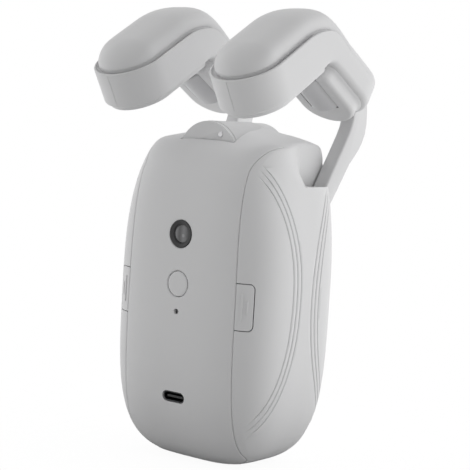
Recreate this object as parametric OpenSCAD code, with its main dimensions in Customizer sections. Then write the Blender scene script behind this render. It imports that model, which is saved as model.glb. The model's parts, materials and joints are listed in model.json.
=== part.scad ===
// Curtain robot: a barrel-shaped drive unit that hangs from a curtain rod on two hook arms.
// +Z is up, the front faces -Y, and the origin is the middle of the flat base.

/* [Body] */
// Width of the body at its widest height
body_w = 68; // [64:0.5:76]
// Depth of the body from front to back
body_d = 51.6; // [50:0.4:60]
// Height of the shoulder crease above the base
shoulder_z = 108; // [106:0.5:118]
// Rise of the domed top above the shoulder crease
crown = 4.4; // [3:0.1:4.8]
// Height of the widest section
widest_z = 60; // [54:0.5:64]
// Inward lean of each side between the widest section and the shoulder
side_taper = 8; // [6:0.25:8.5]
// Wall thickness of the shells
wall = 2.2; // [1.8:0.1:2.4]
// Distance of each front seam from the widest side
cover_inset = 11.4; // [10.6:0.2:14]
// Height of the sensor's middle above the base
sensor_z = 77.4; // [74:0.2:82]
// Drop of the button's middle below the sensor
button_drop = 16.6; // [15:0.2:18]
// Drop of the pinhole below the sensor
pinhole_drop = 25.8; // [24:0.2:28]
// Drop of the charging inlet below the sensor
inlet_drop = 54.6; // [50:0.2:58]
// Diameter of the sensor bezel
bezel_dia = 9.3; // [8:0.1:11]
// Diameter of the sensor lens
lens_dia = 5.4; // [4:0.1:6.4]
// Diameter of the button
button_dia = 8.4; // [7:0.1:9.4]
// Diameter of the pinhole for the light
pinhole_dia = 1.9; // [1.4:0.1:2.4]

/* [Drive wheel] */
// Radius of the drive wheel over its tyre
wheel_r = 12.9; // [12:0.1:13.4]
// Height of the wheel's crest above the shoulder
wheel_rise = 7; // [5:0.25:8]
// Thickness of the tyre
tyre_t = 1.3; // [1:0.1:2]
// Half distance over the bearing cheeks
cheek_y = 14.4; // [14:0.1:15]
// Thickness of a bearing cheek
cheek_t = 1.5; // [1.2:0.1:2]
// Radius of the wheel axle
axle_r = 2; // [1.5:0.1:2.5]
// Radius of the motor
motor_r = 8.5; // [7:0.25:8.5]

/* [Hook arms] */
// Distance of each arm's middle from the body's widest side
arm_inset = 9; // [8.5:0.25:10]
// Width of the arm post and stem
post_w = 5.5; // [4.5:0.25:6]
// Depth of the stem that slides in the body
stem_d = 7; // [6:0.25:7.5]
// Lean of the post from upright
post_lean = 33.4; // [30:0.2:36]
// How far the arms pull out
arm_travel = 22; // [10:1:24]
// Slope of each hook leg
hook_slope = 30.5; // [28:0.5:33]
// Width of a hook
hook_w = 26; // [24:0.25:27]
// Height of the inside of the hook above the shoulder
hook_rise = 28.5; // [27:0.25:34]
// Length of the front leg from the inner bend to its tip
front_leg = 38.2; // [36:0.2:44]
// Length of the rear leg from the inner bend to its tip
rear_leg = 34; // [33:0.25:36]
// Thickness of a hook leg from its underside to its rim
leg_t = 12.5; // [12:0.1:14]
// Height of the domed cap above the rim
cap_h = 6.5; // [4:0.25:7]
// Inset of the cap from the rim
cap_inset = 1.4; // [1:0.1:2.5]
// Radius of a hook roller
roller_r = 7.2; // [6.4:0.1:7.6]

/* [Latches] */
// Height of a release latch
latch_h = 15; // [12:0.25:17]
// Width of a release latch
latch_w = 6.6; // [5.5:0.1:7]
// How far a release latch presses in
latch_travel = 1.2; // [0.8:0.1:1.4]
// Height of the latch's middle
latch_z = 56; // [52:0.5:62]
// How far the button presses in
button_travel = 0.8; // [0.4:0.1:1]

/* [Hidden] */
$fn = 64;
slip = 0.4;      // clearance round pieces that slide
run = 0.05;      // radial clearance of shafts that turn
touch = 0.1;     // clearance of pieces that only rest near each other
far = 200;
half_w = body_w / 2;
half_d = body_d / 2;
seat = 0.05;     // gap left under pieces that rest on a seat
cover_half_w = half_w - cover_inset;
button_z = sensor_z - button_drop;
pinhole_z = sensor_z - pinhole_drop;
inlet_z = sensor_z - inlet_drop;

// Body form
plan_n = 3.6;    // squareness of the plan
base_n = 3.9;    // squareness of the rounding at the base
brow_n = 3.8;    // squareness of the rounding at the top of the front
taper_n = 2.3;   // how late the sides draw in towards the shoulder
brow_rise = 2.6; // how far above the shoulder the brow's rounding would close
base_flat = 0.5; // depth that the flat base cuts off the rounding
crown_tilt = 0.5; // how much higher the dome stands at the rear than in the middle
plan_steps = 40;
inner_plan_steps = 24;
base_steps = 8;
side_steps = 6;
dome_rings = [0.92, 0.6, 0.25];
cover_back_y = -cheek_y - 2 * slip;
seam_drop = 0.6;
top_seam_z = shoulder_z - seam_drop;

// Wheel, gears and motor
wheel_z = shoulder_z + wheel_rise - wheel_r;
cheek_step = 0.15;
cheek_r = wheel_r - cheek_step;
cheek_in = cheek_y - cheek_t;
wheel_front = -cheek_in + slip;
wheel_back = 8;
gear_m = 0.6;
wheel_teeth = 32;
idler_small = 12;
idler_large = 36;
pinion_teeth = 10;
idler_dir = -63;
motor_dir = -125.4;
idler_x = gear_m * (wheel_teeth + idler_small) / 2 * cos(idler_dir);
idler_z = wheel_z + gear_m * (wheel_teeth + idler_small) / 2 * sin(idler_dir);
motor_x = idler_x + gear_m * (idler_large + pinion_teeth) / 2 * cos(motor_dir);
motor_z = idler_z + gear_m * (idler_large + pinion_teeth) / 2 * sin(motor_dir);
gear_gap = 0.5;
gear_front = wheel_back + gear_gap;
gear_back = cheek_in - gear_gap;
outer_gear_front = cheek_y + slip;
outer_gear_t = 2.6;
neck_r = 2.5;
bearing_r = 4;
cradle_step = 5;
cradle_top = wheel_z - cradle_step;
cradle_t = 1.6;
motor_gap = 0.9;
cradle_z = motor_z - motor_r - motor_gap - cradle_t;

// Arms
arm_x = half_w - arm_inset;
apex_y = 1;
apex_z = shoulder_z + hook_rise;
stem_inset = 17.3;
stem_y = half_d - stem_inset;
stem_z = 36;
pocket_h = 13;
pocket_z = shoulder_z - pocket_h;
pocket_y = stem_y - slip;
pocket_x = arm_x - post_w / 2 - slip;
scoop_len = 12;  // length of the hollow that leads into a pocket
scoop_out = 3.4; // depth of the widest side over the start of the hollow
scoop_steps = 8;
liner_t = 1.65;
cradle_half_w = pocket_x - liner_t;
post_shift = 8.1; // how far back the post stands where it leaves the pocket
bend_z = pocket_z - post_shift / tan(post_lean);
post_back_grow = 4.2;
slot_drop = 6;
slot_rise = 40;
guide_t = 1.7;
guide_gap = 0.3;
guide_open = 0.75;
guide_drop = 5;
guide_z = stem_z - guide_t - guide_gap;
guide_top = bend_z - guide_drop;
crest_r = 28;
inner_fillet = 4;
arc_steps = 12;
front_plate_t = 1.2;
front_plate_inset = 1.6;
rear_plate_t = 4.8;
rear_plate_inset = 3;
roller_bulge = 2.2;
roller_start = 4.4;
roller_len = 16.2;
pin_r = 1.5;
pin_past = 2;
cap_rows = 22;
cap_cols = 12;
cap_n = 2.3;
cap_skirt = 0.8;
cap_past_crest = 14.5;
cap_fade = 1.6;  // length of each rounded end of the dome, in half widths

// Front fittings
board_t = 1.6;
board_gap = 0.2;
board_y = -cheek_y - board_gap;
board_front = board_y - board_t;
board_half_w = 18;
board_z = 14;
board_top = 92;
cell_r = 9;
cell_len = 50;
cell_x = 9.4;
cell_y = 4;
cell_z = 5.2;
latch_angle = 28;
latch_r = 1.5;
latch_depth = 5;
latch_rib_out = 0.9;
latch_gap = 0.3;
rib_w = 0.8;
long_rib = [-1.1, 10];  // place across the latch and length
short_rib = [1.2, 6.5];
button_gap = 0.2;
usb_gap = 0.25;

shell_white = [0.86, 0.86, 0.87];

// Body form: a barrel with a squarish plan, a rounded base and brow, and a crisp shoulder

function power_round(v, n) = sign(v) * pow(abs(v), 2 / n);
function above(z) = max(z - widest_z, 0) / (shoulder_z - widest_z);
function below(z, t) = max(widest_z - z, 0) / (widest_z + base_flat - t);
function base_scale(z, t) = pow(1 - pow(below(z, t), base_n), 1 / base_n);
function side_x(z, t) = (half_w - t) * base_scale(z, t) - side_taper * pow(above(z), taper_n);
function rear_y(z, t) = (half_d - t) * base_scale(z, t);
function brow(z, t) = max(z - widest_z, 0) / (shoulder_z - widest_z + brow_rise - t);
function front_y(z, t) = rear_y(z, t) * pow(1 - pow(brow(z, t), brow_n), 1 / brow_n);

function ring(z, t, r, rise, steps) = [
  for (i = [0 : steps - 1])
    let (a = 360 * (i + 0.5) / steps,
         y = r * (sin(a) < 0 ? front_y(z, t) : rear_y(z, t)) * power_round(sin(a), plan_n))
      [r * side_x(z, t) * power_round(cos(a), plan_n), y, z + rise * (1 + crown_tilt * y / half_d)]
];
function ring_levels(t) = concat(
  [for (k = [0 : base_steps - 1]) t + (widest_z - t) * (1 - cos(90 * k / base_steps))],
  [for (k = [0 : side_steps]) widest_z + (shoulder_z - t - widest_z) * sin(90 * k / side_steps)]
);
function band(rings, steps) = [
  for (k = [0 : rings - 2], i = [0 : steps - 1], half = [0, 1])
    let (a = k * steps + i, b = k * steps + (i + 1) % steps)
      half == 0 ? [a, a + steps, b] : [b, a + steps, b + steps]
];

// The solid body form, drawn in by t all round
module body_form(t, steps = plan_steps) {
  levels = ring_levels(t);
  top = shoulder_z - t;
  points = concat(
    [for (z = levels) each ring(z, t, 1, 0, steps)],
    [for (r = dome_rings) each ring(top, t, r, crown * (1 - r * r), steps)]
  );
  rings = len(levels) + len(dome_rings);
  caps = [
    [for (i = [0 : steps - 1]) i],
    [for (i = [0 : steps - 1]) rings * steps - 1 - i]
  ];
  polyhedron(points, concat(band(rings, steps), caps), convexity = 4);
}

module shell() {
  difference() {
    body_form(0);
    body_form(wall, inner_plan_steps);
  }
}

module front_region() {
  translate([-cover_half_w, -far, -far]) cube([2 * cover_half_w, far + cover_back_y, 2 * far]);
}

module top_region() {
  translate([-far, cover_back_y, top_seam_z]) cube([2 * far, 2 * far, far]);
}

// A round bar along Y between two depths
module bar_y(x, z, r, y0, y1) {
  translate([x, y1, z]) rotate([90, 0, 0]) cylinder(r = r, h = y1 - y0);
}

module both_sides() {
  children();
  mirror([1, 0, 0]) children();
}

// Stadium outline along X, as the inlet has
module stadium(w, h) {
  square([w - h, h], center = true);
  for (s = [-1, 1]) translate([s * (w - h) / 2, 0]) circle(d = h);
}

module stadium_y(w, h, z, y0, y1) {
  translate([0, y1, z]) rotate([90, 0, 0]) linear_extrude(y1 - y0) stadium(w, h);
}

module rounded_rect(w, h, r) {
  square([w - 2 * r, h], center = true);
  square([w, h - 2 * r], center = true);
  for (sx = [-1, 1], sz = [-1, 1]) translate([sx * (w / 2 - r), sz * (h / 2 - r)]) circle(r);
}

// Latch column, square to the front corner of the body
latch_mid_x = cover_half_w + latch_w / 2 * cos(latch_angle);
latch_in = 14;

module latch_place() {
  translate([latch_mid_x, -front_corner_y(latch_mid_x), latch_z]) rotate([0, 0, latch_angle])
    rotate([90, 0, 0]) children();
}
function front_corner_y(x) =
  half_d * pow(1 - pow(x / half_w, plan_n), 1 / plan_n);

module latch_column(grow, depth) {
  latch_place() translate([0, 0, -depth]) linear_extrude(depth + latch_in)
    rounded_rect(latch_w + 2 * grow, latch_h + 2 * grow, latch_r);
}

// Front cover with its openings

module front_cover() {
  color(shell_white) difference() {
    intersection() {
      shell();
      front_region();
    }
    bar_y(0, sensor_z, bezel_dia / 2 + touch, -far, board_front);
    bar_y(0, button_z, button_dia / 2 + button_gap, -far, board_front);
    bar_y(0, pinhole_z, pinhole_dia / 2, -far, board_front);
    stadium_y(usb_w + 2 * usb_gap, usb_h + 2 * usb_gap, inlet_z, -far, board_front);
    both_sides() latch_column(latch_gap, latch_depth);
  }
}

// Pockets that the arm posts stand in, each with a hollow that leads into it from the front

function ease(v) = v * v * (3 - 2 * v);
scoop_x = half_w - scoop_out;
module pocket() {
  translate([0, 0, pocket_z]) linear_extrude(far) polygon(concat(
    [for (k = [0 : scoop_steps])
      let (v = k / scoop_steps)
        [scoop_x + (pocket_x - scoop_x) * ease(v), pocket_y - scoop_len * (1 - v)]],
    [[pocket_x, far], [far, far], [far, pocket_y - scoop_len]]
  ));
}

module pocket_liner() {
  translate([pocket_x - liner_t, pocket_y - scoop_len - liner_t, pocket_z - liner_t])
    cube([far, far, far]);
}

module post_slot() {
  slope = tan(post_lean + post_back_grow);
  back = stem_y + stem_d + slip;
  translate([pocket_x, 0, 0]) rotate([90, 0, 90]) linear_extrude(post_w + 2 * slip)
    polygon([
      [pocket_y, bend_z - slot_drop],
      [back, bend_z - slot_drop],
      [back, bend_z - slip],
      [back + slot_rise * slope, bend_z - slip + slot_rise],
      [pocket_y, bend_z - slip + slot_rise]
    ]);
}

// Room for the wheel and its cheeks in the top
module wheel_slot() {
  intersection() {
    bar_y(0, wheel_z, wheel_r + slip, -far, cheek_y + slip);
    translate([-far / 2, -far, wheel_z]) cube([far, 2 * far, far]);
  }
}

// Raised floor that the battery cells stand on
module cell_floor() {
  translate([-cell_x - cell_r, cell_y - cell_r, 0])
    cube([2 * (cell_x + cell_r), 2 * cell_r, cell_z - seat]);
}

module main_housing() {
  color(shell_white) difference() {
    union() {
      shell();
      intersection() {
        body_form(0);
        union() {
          both_sides() pocket_liner();
          cell_floor();
        }
      }
      cradle_bosses(boss_r, half_d - wall / 2);
    }
    front_region();
    top_region();
    wheel_slot();
    both_sides() pocket();
    both_sides() post_slot();
    both_sides() latch_column(latch_gap, latch_depth);
    cradle_bosses(screw_r, half_d - wall - screw_spare);
  }
}

module top_plate() {
  color(shell_white) difference() {
    intersection() {
      shell();
      top_region();
    }
    wheel_slot();
    both_sides() pocket();
  }
}

// Wheel cradle: a bent frame with two bearing cheeks, a gear shroud and a base plate

module cradle_bosses(r, back) {
  for (x = [-boss_x, boss_x]) bar_y(x, boss_z, r, cheek_y, back);
}
boss_r = 3;
boss_inset = 3.7;
boss_x = cradle_half_w - boss_inset;
boss_rise = 5;
boss_z = cradle_z + boss_rise;
screw_r = 1.2;
screw_spare = 2; // depth of the boss hole's end behind the rear wall

module cheek_outline() {
  translate([0, wheel_z]) circle(cheek_r);
  translate([-cradle_half_w, cradle_z]) square([2 * cradle_half_w, cradle_top - cradle_z]);
}

module cheek(y0) {
  translate([0, y0 + cheek_t, 0]) rotate([90, 0, 0]) linear_extrude(cheek_t) cheek_outline();
}

module wheel_cradle() {
  color([0.55, 0.56, 0.58]) difference() {
    union() {
      cheek(-cheek_y);
      cheek(cheek_in);
      translate([-cradle_half_w, -cheek_y, cradle_z]) cube([2 * cradle_half_w, 2 * cheek_y, cradle_t]);
      difference() {
        bar_y(0, wheel_z, cheek_r, wheel_back + slip, cheek_y);
        bar_y(0, wheel_z, cheek_r - shroud_t, 0, cheek_in);
        translate([-far / 2, 0, wheel_z - far - shroud_drop]) cube([far, cheek_in, far]);
      }
    }
    bar_y(0, wheel_z, bearing_r, -far, far);
    bar_y(idler_x, idler_z, neck_r + run, 0, far);
    bar_y(motor_x, motor_z, gear_m * pinion_teeth / 2 + pinion_room, 0, far);
    for (x = [-boss_x, boss_x]) bar_y(x, boss_z, screw_r + seat, 0, far);
    for (x = [-board_screw_x, board_screw_x]) bar_y(x, board_screw_z, small_screw_r + seat, -far, 0);
    bar_y(cheek_screw_x, cheek_screw_z, tiny_screw_r, -far, 0);
  }
}
shroud_t = 1.2;
shroud_drop = 4;
pinion_room = 1;
board_screw_x = 14;
board_screw_drop = 6;
board_screw_z = board_top - board_screw_drop;
small_screw_r = 1;
tiny_screw_r = 0.8;
cheek_screw_x = 5.2;
cheek_screw_rise = 8.6;
cheek_screw_z = wheel_z + cheek_screw_rise;

module wheel_bearings() {
  color([0.75, 0.7, 0.5]) for (y = [-cheek_y, cheek_in]) difference() {
    bar_y(0, wheel_z, bearing_r, y, y + cheek_t);
    bar_y(0, wheel_z, axle_r + run, y - 1, y + cheek_t + 1);
  }
}

hub_rim = 1.8;
hub_boss = 1.5;
hub_hollow = 7;
module wheel_hub() {
  color([0.8, 0.8, 0.8]) difference() {
    union() {
      bar_y(0, wheel_z, wheel_r - tyre_t, wheel_front, wheel_back);
      bar_y(0, wheel_z, axle_r, -cheek_y + touch, cheek_y - touch);
    }
    difference() {
      bar_y(0, wheel_z, wheel_r - tyre_t - hub_rim, wheel_front - 1, wheel_front + hub_hollow);
      bar_y(0, wheel_z, axle_r + hub_boss, wheel_front, wheel_front + hub_hollow + 1);
      bar_y(0, wheel_z, axle_r, -far, far);
    }
  }
}

module wheel_tyre() {
  color(shell_white) difference() {
    bar_y(0, wheel_z, wheel_r, wheel_front, wheel_back);
    bar_y(0, wheel_z, wheel_r - tyre_t, wheel_front - 1, wheel_back + 1);
  }
}

// Spur gear outline: each tooth has a root, a pitch and a tip width
root_share = 0.32;
pitch_share = 0.2;
tip_share = 0.09;
function tooth(r, a, p) = [
  for (c = [[-root_share, -1.2], [-pitch_share, 0], [-tip_share, 0.9],
            [tip_share, 0.9], [pitch_share, 0], [root_share, -1.2]])
    let (rr = r + c[1] * gear_m, b = a + c[0] * p) [rr * cos(b), rr * sin(b)]
];
module gear(teeth, first, x, z, y0, y1) {
  pitch = 360 / teeth;
  translate([x, y1, z]) rotate([90, 0, 0]) linear_extrude(y1 - y0)
    polygon([for (i = [0 : teeth - 1]) each tooth(gear_m * teeth / 2, first + i * pitch, pitch)]);
}

collar_t = 2;
module wheel_gear() {
  color([0.85, 0.8, 0.6]) difference() {
    union() {
      gear(wheel_teeth, idler_dir, 0, wheel_z, gear_front, gear_back);
      bar_y(0, wheel_z, axle_r + collar_t, wheel_back, gear_front + collar_t);
    }
    bar_y(0, wheel_z, axle_r, -far, far);
  }
}

module idler_gear() {
  color([0.85, 0.8, 0.6]) {
    gear(idler_small, idler_dir + 180 + 180 / idler_small, idler_x, idler_z, gear_front, gear_back);
    bar_y(idler_x, idler_z, neck_r, gear_back, outer_gear_front);
    gear(idler_large, motor_dir, idler_x, idler_z, outer_gear_front, outer_gear_front + outer_gear_t);
  }
}

shaft_r = 1;
shaft_in = 3;
module motor_pinion() {
  color([0.8, 0.7, 0.4]) {
    gear(pinion_teeth, motor_dir + 180 + 180 / pinion_teeth, motor_x, motor_z,
         outer_gear_front, outer_gear_front + outer_gear_t);
    bar_y(motor_x, motor_z, shaft_r, cheek_in - shaft_in, outer_gear_front);
  }
}

module motor() {
  color([0.7, 0.7, 0.72]) difference() {
    bar_y(motor_x, motor_z, motor_r, wheel_front, cheek_in);
    bar_y(motor_x, motor_z, shaft_r + run, cheek_in - shaft_in - slip, far);
  }
}

module battery_cells() {
  color([0.25, 0.5, 0.75]) for (s = [-1, 1])
    translate([s * cell_x, cell_y, cell_z]) cylinder(r = cell_r, h = cell_len);
}

clip_z = 32;
clip_h = 12;
clip_t = 2;
module battery_clip() {
  color([0.3, 0.3, 0.32]) difference() {
    translate([-cradle_half_w, cell_y, clip_z]) cube([2 * cradle_half_w, cell_r + clip_t, clip_h]);
    for (s = [-1, 1]) translate([s * cell_x, cell_y, 0]) cylinder(r = cell_r + seat, h = far);
  }
}

// Boards, inlet and front fittings

module main_board() {
  color([0.1, 0.35, 0.2]) difference() {
    translate([-board_half_w, board_front, board_z])
      cube([2 * board_half_w, board_t, board_top - board_z]);
    for (x = [-board_screw_x, board_screw_x]) bar_y(x, board_screw_z, small_screw_r + touch, -far, 0);
  }
}

module_back = 4.4;
module_step = 0.6;
module_front = -half_d + module_back;
module sensor_module() {
  color([0.1, 0.1, 0.1]) bar_y(0, sensor_z, bezel_dia / 2 - module_step, module_front, board_front);
}

bezel_out = 0.2;
bezel_lip = 0.7;
bezel_cone = 1;
module sensor_bezel() {
  front = -front_y(sensor_z, 0) - bezel_out;
  color([0.05, 0.05, 0.05]) difference() {
    bar_y(0, sensor_z, bezel_dia / 2, front, module_front);
    translate([0, front + bezel_cone, sensor_z]) rotate([90, 0, 0])
      cylinder(r1 = lens_dia / 2, r2 = bezel_dia / 2 - bezel_lip, h = bezel_cone + 0.01);
    bar_y(0, sensor_z, lens_dia / 2, front - 1, module_front + 1);
  }
}

lens_in = 0.8;
module sensor_lens() {
  front = -front_y(sensor_z, 0) + lens_in;
  color([0.35, 0.36, 0.4]) bar_y(0, sensor_z, lens_dia / 2, front, module_front);
}

module light_pipe() {
  color([0.2, 0.2, 0.2])
    bar_y(0, pinhole_z, pinhole_dia / 2 - touch, -front_y(pinhole_z, 0) + pipe_in, board_front);
}
pipe_in = 0.9;

button_in = 0.05;    // how far the button's face lies below the cover
button_rim = 1;      // width and thickness of the rim that keeps it in
button_tail_l = 3.6; // from the rim to the end of its tail
button_tail_r = 1.5;
button_flange = -half_d + wall + slip;
button_tail = button_flange + button_tail_l;
module push_button() {
  color(shell_white) {
    bar_y(0, button_z, button_dia / 2, -half_d + button_in, button_flange);
    bar_y(0, button_z, button_dia / 2 + button_rim, button_flange, button_flange + button_rim);
    bar_y(0, button_z, button_tail_r, button_flange + button_rim, button_tail);
  }
}

switch_w = 6;
switch_t = 2;
plunger_r = 1.4;
plunger_gap = 0.15;
module key_switch() {
  color([0.2, 0.2, 0.22]) {
    translate([-switch_w / 2, board_front - switch_t, button_z - switch_w / 2])
      cube([switch_w, switch_t, switch_w]);
    bar_y(0, button_z, plunger_r, button_tail + button_travel + plunger_gap, board_front - switch_t);
  }
}

usb_w = 9;
usb_h = 3.2;
usb_wall = 0.3;
usb_in = 0.35;
usb_base = 1.5;
usb_front = -front_y(inlet_z, 0) + usb_in;
usb_floor = board_front - usb_base;
module usb_shell() {
  color([0.7, 0.7, 0.72]) difference() {
    stadium_y(usb_w, usb_h, inlet_z, usb_front, board_front);
    stadium_y(usb_w - 2 * usb_wall, usb_h - 2 * usb_wall, inlet_z, usb_front - 1, usb_floor);
  }
}

tongue_w = 6.6;
tongue_t = 0.7;
module usb_tongue() {
  color([0.08, 0.08, 0.08])
    translate([-tongue_w / 2, usb_front + tongue_t, inlet_z - tongue_t / 2])
      cube([tongue_w, usb_floor - usb_front - tongue_t, tongue_t]);
}

// Guides that the arm stems slide in

module arm_guide() {
  x0 = cradle_half_w + seat;
  x1 = arm_x + post_w / 2 - guide_open;
  stem_in = arm_x - post_w / 2 - guide_gap;
  y0 = stem_y - guide_gap - guide_t;
  y1 = stem_y + stem_d + guide_gap + guide_t;
  difference() {
    translate([x0, y0, guide_z]) cube([x1 - x0, y1 - y0, guide_top - guide_z]);
    translate([stem_in, stem_y - guide_gap, guide_z + guide_t]) cube([far, stem_d + 2 * guide_gap, far]);
  }
}
module arm_guide_right() { color([0.4, 0.4, 0.42]) arm_guide(); }
module arm_guide_left() { color([0.4, 0.4, 0.42]) mirror([1, 0, 0]) arm_guide(); }

// Screws

screw_head_r = 2.2;
screw_head_h = 1.3;
screw_short = 3; // distance of a cradle screw's tip from the inside of the rear wall
small_head_r = 2;
small_head_h = 1.2;
tiny_head_r = 1.15;
tiny_head_h = 0.5;

module cradle_screws() {
  color([0.7, 0.7, 0.7]) for (x = [-boss_x, boss_x]) {
    bar_y(x, boss_z, screw_head_r, cheek_in - screw_head_h, cheek_in);
    bar_y(x, boss_z, screw_r, cheek_in, half_d - wall - screw_short);
  }
}

module board_screws() {
  color([0.7, 0.7, 0.7]) for (x = [-board_screw_x, board_screw_x]) {
    bar_y(x, board_screw_z, small_head_r, board_front - small_head_h, board_front);
    bar_y(x, board_screw_z, small_screw_r, board_front, -cheek_in);
  }
}

module cheek_screw() {
  color([0.9, 0.9, 0.9]) {
    bar_y(cheek_screw_x, cheek_screw_z, tiny_head_r, -cheek_y - tiny_head_h, -cheek_y);
    bar_y(cheek_screw_x, cheek_screw_z, tiny_screw_r, -cheek_y, -cheek_in);
  }
}

// Hook arms

// Places a leg's own frame: X across, Y along the leg from the inner bend, Z away from the rod
module rear_frame() {
  translate([arm_x, apex_y, apex_z]) rotate([-hook_slope, 0, 0]) children();
}
module front_frame() {
  translate([arm_x, apex_y, apex_z]) mirror([0, 1, 0]) rotate([-hook_slope, 0, 0]) children();
}

module leg_outline(len, w) {
  translate([-w / 2, -far / 4]) square([w, far / 4 + len - w / 2]);
  translate([0, len - w / 2]) circle(w / 2);
}

// Round-ended slab along a leg, ended at the upright plane through the bend
module rear_slab(len, w, z0, z1) {
  intersection() {
    rear_frame() translate([0, 0, z0]) linear_extrude(z1 - z0) leg_outline(len, w);
    translate([arm_x - far / 2, apex_y, 0]) cube([far, far, far]);
  }
}
module front_slab(len, w, z0, z1) {
  intersection() {
    front_frame() translate([0, 0, z0]) linear_extrude(z1 - z0) leg_outline(len, w);
    translate([arm_x - far / 2, apex_y - far, 0]) cube([far, far, far]);
  }
}

function arc(cz, r) = [
  for (k = [0 : arc_steps])
    let (a = 90 - hook_slope + 2 * hook_slope * k / arc_steps) [apex_y + r * cos(a), cz + r * sin(a)]
];
rim_peak = apex_z + leg_t / cos(hook_slope);
crest_z = rim_peak - crest_r / cos(hook_slope);
function leg_point(s, along, up) = [
  apex_y + s * (along * cos(hook_slope) + up * sin(hook_slope)),
  apex_z - along * sin(hook_slope) + up * cos(hook_slope)
];

module hook_band() {
  reach = 60;
  inner = arc(apex_z - inner_fillet / cos(hook_slope), inner_fillet);
  translate([arm_x - far / 2, 0, 0]) rotate([90, 0, 90]) linear_extrude(far) polygon(concat(
    [leg_point(1, reach, leg_t)], arc(crest_z, crest_r), [leg_point(-1, reach, leg_t)],
    [leg_point(-1, reach, 0)],
    [for (k = [0 : arc_steps]) inner[arc_steps - k]],
    [leg_point(1, reach, 0)]
  ));
}

post_top_y = 39.2;
post_lip = 4;
shin_in = 3;
module post() {
  slope = tan(post_lean);
  back_slope = tan(post_lean + post_back_grow);
  front_top = leg_point(1, rear_leg, 0);
  end_top = leg_point(1, rear_leg, leg_t);
  back = stem_y + stem_d;
  knee_z = bend_z + (post_top_y - back) / back_slope;
  shin_z = bend_z + (front_top[0] - shin_in - stem_y) / slope;
  translate([arm_x - post_w / 2, 0, 0]) rotate([90, 0, 90]) linear_extrude(post_w) polygon([
    [stem_y, stem_z],
    [back, stem_z],
    [back, bend_z],
    [post_top_y, knee_z],
    [post_top_y, front_top[1]],
    [end_top[0] + post_lip / 2, end_top[1] - post_lip],
    [end_top[0] - 1, end_top[1] - 1],
    [front_top[0] - post_lip / 2, front_top[1] + post_lip],
    [front_top[0], front_top[1] - seat],
    [front_top[0] - shin_in, shin_z],
    [stem_y, bend_z]
  ]);
}

rear_axis_h = -rear_plate_t - roller_bulge + roller_r;
front_axis_h = -front_plate_t - roller_bulge + roller_r;
roller_end = roller_start + roller_len;
pin_start = roller_start - slip - pin_past;
pin_end = roller_end + slip + pin_past;

// A round bar along a leg, at a height above its underside
module leg_bar(h, r, u0, u1) {
  translate([0, u1, h]) rotate([90, 0, 0]) cylinder(r = r, h = u1 - u0);
}

module roller_space(h) {
  leg_bar(h, roller_r + slip, roller_start - slip, roller_end + slip);
  translate([-roller_r - slip, roller_start - slip, -0.01])
    cube([2 * (roller_r + slip), roller_len + 2 * slip, h]);
}

module hook_arm() {
  difference() {
    union() {
      intersection() {
        hook_band();
        union() {
          rear_slab(rear_leg, hook_w, -10, 40);
          front_slab(front_leg, hook_w, -10, 40);
        }
      }
      post();
    }
    rear_frame() roller_space(rear_axis_h);
    front_frame() roller_space(front_axis_h);
    rear_frame() leg_bar(rear_axis_h, pin_r, pin_start, pin_end);
    front_frame() leg_bar(front_axis_h, pin_r, pin_start, pin_end);
  }
}

module roller_plate() {
  difference() {
    union() {
      rear_slab(rear_leg - rear_plate_inset, hook_w - 2 * rear_plate_inset, -rear_plate_t, 0);
      front_slab(front_leg - front_plate_inset, hook_w - 2 * front_plate_inset, -front_plate_t, 0);
    }
    rear_frame() leg_bar(rear_axis_h, roller_r + slip, roller_start - slip, roller_end + slip);
    front_frame() leg_bar(front_axis_h, roller_r + slip, roller_start - slip, roller_end + slip);
    rear_frame() leg_bar(rear_axis_h, pin_r, pin_start, pin_end);
    front_frame() leg_bar(front_axis_h, pin_r, pin_start, pin_end);
    hook_band();
  }
}

module roller(h) {
  difference() {
    leg_bar(h, roller_r, roller_start, roller_end);
    leg_bar(h, pin_r + run, 0, far);
  }
}

module pin(h) {
  leg_bar(h, pin_r, pin_start + touch, pin_end - touch);
}

// Domed cap: rows along the front leg and over the crest, columns across
cap_front = front_leg - cap_inset;
cap_half_w = hook_w / 2 - cap_inset;
arc_len = crest_r * 2 * hook_slope * PI / 180;
straight = cap_front - (crest_r * tan(hook_slope) - leg_t * tan(hook_slope));
cap_len = straight + arc_len / 2 + cap_past_crest;
function cap_turn(s) = hook_slope - min(max((s - straight) / crest_r * 180 / PI, 0), 2 * hook_slope);
function cap_point(s) = let (a = cap_turn(s), over = s - straight - arc_len)
  s < straight
    ? leg_point(-1, cap_front - s, leg_t)
    : [apex_y - crest_r * sin(a) + (over > 0 ? over * cos(a) : 0),
       crest_z + crest_r * cos(a) + (over > 0 ? over * sin(a) : 0)];
function cap_half(s) = let (d = min(s, cap_len - s))
  d >= cap_half_w ? cap_half_w : sqrt(max(0, pow(cap_half_w, 2) - pow(cap_half_w - d, 2)));
function cap_edge(s) = let (d = min(s, cap_len - s) / cap_half_w / cap_fade)
  d >= 1 ? 1 : sqrt(1 - pow(1 - d, 2));
function cap_row(k) = let (s = cap_len * (1 - cos(180 * (k + 0.35) / (cap_rows + 0.7))) / 2,
                           a = cap_turn(s), p = cap_point(s), w = cap_half(s))
  [for (j = [0 : cap_cols])
    let (v = -cos(180 * j / cap_cols),
         h = cap_skirt + (cap_h - cap_skirt) * cap_edge(s) * pow(max(0, 1 - pow(abs(v), cap_n)), 1 / cap_n))
      [arm_x + w * v, p[0] - h * sin(a), p[1] + h * cos(a)]];
function cap_base(k) = let (s = cap_len * (1 - cos(180 * (k + 0.35) / (cap_rows + 0.7))) / 2,
                            a = cap_turn(s), p = cap_point(s), w = cap_half(s),
                            y = p[0] - touch * sin(a), z = p[1] + touch * cos(a))
  [[arm_x - w, y, z], [arm_x + w, y, z]];

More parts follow.
